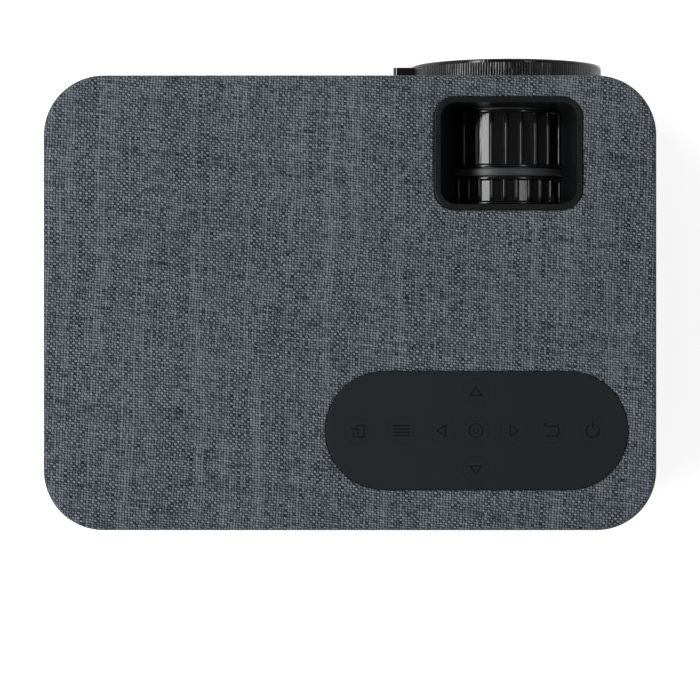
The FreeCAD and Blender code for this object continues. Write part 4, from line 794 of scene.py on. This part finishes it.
def stroke(bm, points, z0, z1, closed):
    """Prism with mitred corners along a run of (right, up) points in millimetres, as the user sees the key."""
    spots = [Vector((x * MM, y * MM)) for x, y in points]
    sides = ([], [])
    for i, spot in enumerate(spots):
        before = spots[i - 1] if closed or i else None
        after = spots[(i + 1) % len(spots)] if closed or i < len(spots) - 1 else None
        ways = [(spot - before).normalized() if before is not None else None,
                (after - spot).normalized() if after is not None else None]
        ways = [way for way in ways if way is not None]
        normals = [Vector((-way.y, way.x)) for way in ways]
        mitre = (normals[0] + normals[-1]).normalized()
        reach = SIGN_LINE / 2.0 / max(SHARPEST_MITRE, mitre.dot(normals[0]))
        sides[0].append(spot + mitre * reach)
        sides[1].append(spot - mitre * reach)
    levels = [[[bm.verts.new((p.x, p.y, z)) for p in side] for side in sides] for z in (z0, z1)]
    (left0, right0), (left1, right1) = levels
    count = len(spots)
    for i in range(count if closed else count - 1):
        j = (i + 1) % count
        bm.faces.new((left0[i], left0[j], right0[j], right0[i]))
        bm.faces.new((left1[i], left1[j], right1[j], right1[i]))
        bm.faces.new((left0[i], left0[j], left1[j], left1[i]))
        bm.faces.new((right0[i], right0[j], right1[j], right1[i]))
    if not closed:
        for i in (0, -1):
            bm.faces.new((left0[i], right0[i], right1[i], left1[i]))


def arc(radius, start, end, steps, center=(0.0, 0.0)):
    """Points of an arc between two angles in degrees."""
    turns = (math.radians(start + (end - start) * i / steps) for i in range(steps + 1))
    return [(center[0] + radius * math.cos(t), center[1] + radius * math.sin(t)) for t in turns]


# Strokes of each key's sign, in millimetres: their points, and whether they close.
SIGNS = {
    "source": [([(-0.6, 2.2), (2.6, 2.2), (2.6, -2.6), (-2.0, -2.6), (-2.0, -0.9)], False),
               ([(-3.0, 1.0), (0.5, 0.2), (-1.0, 1.5)], False), ([(0.2, -0.5), (0.2, -1.4)], False)],
    "menu": [([(-3.6, y), (3.6, y)], False) for y in (2.1, 0.7, -0.7, -2.1)],
    "left": [([(-2.2, 0.0), (1.3, 2.3), (1.3, -2.3)], True)],
    "right": [([(2.2, 0.0), (-1.3, 2.3), (-1.3, -2.3)], True)],
    "up": [([(0.0, 2.0), (2.5, -1.4), (-2.5, -1.4)], True)],
    "down": [([(0.0, -2.0), (2.5, 1.4), (-2.5, 1.4)], True)],
    "select": [(arc(2.9, 0, 337.5, 15), True), (arc(1.0, 0, 315, 7), True)],
    "back": [([(-2.4, -2.2), (2.4, -2.2)] + arc(1.0, -90, 0, 4, (2.4, -1.2)) + arc(1.0, 0, 90, 4, (2.4, 1.0))[:-1]
              + [(2.4, 2.0), (-3.0, 2.0)], False), ([(-1.6, 3.0), (-2.9, 2.62)], False)],
    "power": [(arc(2.8, 120, 420, 28), False), ([(0.0, 0.8), (0.0, 3.5)], False)],
}


def key_cap(key):
    """Round key with its sign sunk into the top."""
    node = "key_" + key
    low, high = extent(node)
    center, top, bottom = (low + high) / 2, high.z, low.z
    flange = (high.x - low.x) / 2
    radius, stem = flange - 0.7 * MM, 1.6 * MM
    seat = top - 2.3 * MM
    flange_end = seat - 0.9 * MM
    body = turned(node, [(top, 0.0), (top, radius - 0.03 * MM), (top - 0.03 * MM, radius), (seat, radius),
                         (seat, flange), (flange_end, flange), (flange_end, stem), (bottom, stem),
                         (bottom, 0.0)], (center.x, center.y, 0.0), "Z", 64)
    cutters = bmesh.new()
    for points, closed in SIGNS[key]:
        stroke(cutters, points, top - SIGN_DEPTH, top + 0.3 * MM, closed)
    cutters.transform(Matrix.Translation((center.x, center.y, 0.0)) @ Matrix.Rotation(math.pi, 4, "Z"))
    cutter = bpy.data.objects.new("sign_cutter", closed_mesh(cutters, "sign_cutter"))
    cap = bpy.data.objects.new("cap_blank", body)
    for made in (cutter, cap):
        bpy.context.scene.collection.objects.link(made)
    sink = cap.modifiers.new("sunk_sign", "BOOLEAN")
    sink.operation, sink.solver, sink.object = "DIFFERENCE", "EXACT", cutter
    sink.use_self = True
    bpy.context.view_layer.update()
    mesh = bpy.data.meshes.new_from_object(cap.evaluated_get(bpy.context.evaluated_depsgraph_get()))
    cap.modifiers.remove(sink)
    for made in (cutter, cap):
        bpy.data.objects.remove(made)
    smooth_by_angle(mesh, 25.0)
    new_piece(node + "_dressed", mesh, FINISHES["soft_black"], key + "_key", "soft_black", node)
    mesh.materials.append(SIGN_FINISH)
    sign_edge = radius - 0.4 * MM
    for face in mesh.polygons:
        spot = face.center - center
        sunk = top - 0.3 * MM < face.center.z < top - 0.004 * MM
        if sunk and math.hypot(spot.x, spot.y) < sign_edge:
            face.material_index = 1


# ---------------------------------------------------------------- disc hub
def turntable():
    """Disc hub: a plate with a raised friction ring, and a boss with three sprung catches round its nose."""
    low, high = extent("turntable")
    center = Vector(((low.x + high.x) / 2, (low.y + high.y) / 2, 0.0))
    plate = (high.x - low.x) / 2
    seat, table, nose = low.z, low.z + 1.2 * MM, low.z + 2.6 * MM
    bore, bore_end = 1.3 * MM, low.z + 1.98 * MM
    ring_inner, ring_outer = 9.0 * MM, 12.3 * MM
    catch_count, catch_place, catch_radius = 3, 6.2 * MM, 0.95 * MM
    profile = [(bore_end, 0.0), (bore_end, bore), (seat, bore), (seat, plate - 0.3 * MM),
               (seat + 0.3 * MM, plate), (table - 0.25 * MM, plate), (table - 0.05 * MM, plate - 0.2 * MM),
               (table - 0.05 * MM, 12.7 * MM),
               (table - 0.3 * MM, 12.6 * MM), (table - 0.3 * MM, ring_outer), (table, 12.2 * MM),
               (table, ring_inner), (table - 0.3 * MM, 8.9 * MM), (table - 0.3 * MM, 7.45 * MM),
               (nose - 0.5 * MM, 7.0 * MM), (nose - 0.1 * MM, 6.6 * MM), (nose, 6.2 * MM), (nose, 2.4 * MM),
               (nose - 0.35 * MM, 2.1 * MM), (nose - 0.35 * MM, 0.0)]
    body = turned("hub", profile, center, "Z", 96)
    catches = []
    for i in range(catch_count):
        turn = 2.0 * math.pi * i / catch_count
        spot = center + catch_place * Vector((math.cos(turn), math.sin(turn), 0.0))
        catches.append(turned("catch", [(nose - 1.0 * MM, 0.0), (nose - 1.0 * MM, catch_radius),
                                        (high.z - 0.3 * MM, catch_radius), (high.z - 0.08 * MM, 0.72 * MM),
                                        (high.z, 0.35 * MM), (high.z, 0.0)], spot, "Z", 24))
    mesh = merged("turntable", body, *catches)
    new_piece("turntable_dressed", mesh, FINISHES["satin_black"], "disc_table", "satin_black", "turntable")
    mesh.materials.append(FINISHES["foot_rubber"])
    mesh.materials.append(FINISHES["rod_steel"])
    for face in mesh.polygons:
        radius = math.hypot(face.center.x - center.x, face.center.y - center.y)
        if ring_inner < radius < ring_outer and face.center.z > table - 0.2 * MM:
            face.material_index = 1
    for face in mesh.polygons[len(body.polygons):]:
        face.material_index = 2


# ---------------------------------------------------------------- the rest of the solids
# Solids of the right shape that are copied smooth: node, body, slot, eased edge in millimetres.
SMOOTHED = (
    ("bottom_shell", "housing", "housing_plastic", 0.0),
    ("top_cover", "housing", "housing_plastic", 0.0),
    ("wheel_well", "housing", "satin_black", 0.0),
    ("receiver_window", "housing", "receiver_red", 0.3),
    ("side_grille", "housing", "housing_plastic", 0.2),
    ("speaker_grille", "housing", "housing_plastic", 0.25),
    ("rear_panel", "housing", "housing_plastic", 0.25),
    ("tray_fascia", "tray", "satin_black", 0.2),
    ("eject_button", "eject", "satin_black", 0.2),
    ("disc_tray", "tray", "satin_black", 0.0),
    ("spindle_motor", "tray", "sheet_steel", 0.0),
    ("pickup_sled", "sled", "satin_black", 0.15),
    ("guide_rods", "tray", "rod_steel", 0.0),
    ("lead_screw", "sled_screw", "rod_steel", 0.0),
    ("slide_rails", "rails", "sheet_steel", 0.0),
    ("rubber_feet", "housing", "foot_rubber", 0.4),
    ("foot_knob", "foot_wheel", "satin_black", 0.0),
    ("foot_stud", "foot_post", "rod_steel", 0.0),
    ("case_screws", "housing", "dark_steel", 0.0),
    ("tripod_insert", "housing", "insert_brass", 0.0),
    ("lens_mount", "housing", "satin_black", 0.0),
    ("lens_barrel", "barrel", "satin_black", 0.0),
    ("lens_carrier", "carrier", "satin_black", 0.0),
    ("front_glass", "barrel", "lens_glass", 0.0),
    ("rear_glass", "barrel", "lens_glass", 0.0),
    ("hdmi_socket", "housing", "sheet_steel", 0.0),
    ("usb_socket", "housing", "sheet_steel", 0.0),
    ("audio_jacks", "housing", "satin_black", 0.0),
    ("mains_inlet", "housing", "satin_black", 0.0),
    ("fan_rotor", "rotor", "satin_black", 0.0),
    ("fan_frame", "housing", "satin_black", 0.0),
    ("speaker", "housing", "cone_paper", 0.0),
)
OWN_FINISH = {"wheel_well": WELL_FINISH, "disc_tray": TRAY_FINISH}
# Edges sharper than this stay crisp, in degrees.
CRISP_ANGLE = 32.0
OWN_ANGLE = {"wheel_well": 36.0}


def dressed_solids():
    """Smooth copies of the solids in the list. The inner ones keep their own mesh and only get their finish."""
    for node, body, slot, round_edge in SMOOTHED:
        finish = OWN_FINISH.get(node, FINISHES[slot])
        polished(node, finish, slot, body, OWN_ANGLE.get(node, CRISP_ANGLE), round_edge)
    slots = {entry["node"]: entry["material_slot"] for entry in frame["record"]["subparts"]}
    for node, held in frame["nodes"].items():
        if not held.hide_render:
            dress(node, FINISHES[slots[node]])


# ---------------------------------------------------------------- stage, light and camera
FLOOR_REACH = 4.0
FLOOR_LEVEL = -0.0002
FLOOR_GLOW = 0.68


def pale_floor():
    """White floor that takes the shadow, and that cameras and mirrors see a little brighter than it is lit."""
    mesh = bpy.data.meshes.new("floor")
    corners = ((-1, -1), (1, -1), (1, 1), (-1, 1))
    mesh.from_pydata([(x * FLOOR_REACH, y * FLOOR_REACH, FLOOR_LEVEL) for x, y in corners], [], [(0, 1, 2, 3)])
    floor = bpy.data.objects.new("floor", mesh)
    bpy.context.scene.collection.objects.link(floor)
    material = bpy.data.materials.new("pale_floor")
    material.use_nodes = True
    tree = material.node_tree
    tree.nodes.clear()
    add, link = tree.nodes.new, tree.links.new
    path, diffuse, glow = add("ShaderNodeLightPath"), add("ShaderNodeBsdfDiffuse"), add("ShaderNodeEmission")
    both, out = add("ShaderNodeAddShader"), add("ShaderNodeOutputMaterial")
    diffuse.inputs["Color"].default_value = (0.8, 0.8, 0.8, 1.0)
    seen = path.outputs["Is Camera Ray"]
    for ray in ("Is Glossy Ray", "Is Transmission Ray"):
        either = add("ShaderNodeMath")
        either.operation = "MAXIMUM"
        link(seen, either.inputs[0])
        link(path.outputs[ray], either.inputs[1])
        seen = either.outputs[0]
    level = add("ShaderNodeMath")
    level.operation = "MULTIPLY"
    level.inputs[1].default_value = FLOOR_GLOW
    link(seen, level.inputs[0])
    link(level.outputs[0], glow.inputs["Strength"])
    link(diffuse.outputs[0], both.inputs[0])
    link(glow.outputs[0], both.inputs[1])
    link(both.outputs[0], out.inputs["Surface"])
    mesh.materials.append(material)


def daylight():
    """Even light from all round, which fades toward straight above."""
    world = bpy.data.worlds.new("studio")
    bpy.context.scene.world = world
    world.use_nodes = True
    tree = world.node_tree
    background = tree.nodes["Background"]
    background.inputs["Color"].default_value = (1.0, 1.0, 1.0, 1.0)
    direction = tree.nodes.new("ShaderNodeTexCoord")
    parts = tree.nodes.new("ShaderNodeSeparateXYZ")
    level = tree.nodes.new("ShaderNodeMapRange")
    level.interpolation_type = "SMOOTHSTEP"
    for key, number in (("From Min", 0.36), ("From Max", 0.82), ("To Min", 0.62), ("To Max", 0.10)):
        level.inputs[key].default_value = number
    tree.links.new(direction.outputs["Generated"], parts.inputs[0])
    tree.links.new(parts.outputs["Z"], level.inputs["Value"])
    tree.links.new(level.outputs["Result"], background.inputs["Strength"])


def softbox(name, at, width, depth, power):
    """Rectangular lamp aimed at the object."""
    light = bpy.data.lights.new(name, "AREA")
    light.shape = "RECTANGLE"
    light.size, light.size_y, light.energy = width, depth, power
    lamp = bpy.data.objects.new(name, light)
    lamp.location = at
    lamp.rotation_euler = (-Vector(at)).to_track_quat("-Z", "Y").to_euler()
    bpy.context.scene.collection.objects.link(lamp)


def overhead_camera():
    """Camera straight above, turned so that the lens ring is at the top of the picture."""
    camera_data = bpy.data.cameras.new("overhead")
    camera_data.sensor_fit = "HORIZONTAL"
    camera_data.sensor_width = 36.0
    camera_data.lens = 150.83
    camera = bpy.data.objects.new("overhead", camera_data)
    camera.location = (0.0, 0.02343, 1.34)
    camera.rotation_euler = (0.0, 0.0, math.pi)
    bpy.context.scene.collection.objects.link(camera)
    bpy.context.scene.camera = camera
    bpy.context.scene.view_settings.view_transform = "Standard"


pale_floor()
daylight()
softbox("drive_side_box", (0.88, -0.06, 1.24), width=1.5, depth=0.36, power=20.0)
softbox("lens_side_box", (-0.66, -0.06, 1.36), width=1.1, depth=0.16, power=2.6)
overhead_camera()
cloth_cover()
ribbed_wheel("focus_wheel", "focus_ring", "focus_wheel", ribs=30, first_rib=14.5)
ribbed_wheel("keystone_wheel", "keystone_ring", "keystone_wheel", ribs=36, first_rib=4.0)
lens_collars()
lens_ring()
key_panel()
for key in KEYS:
    key_cap(key)
turntable()
dressed_solids()
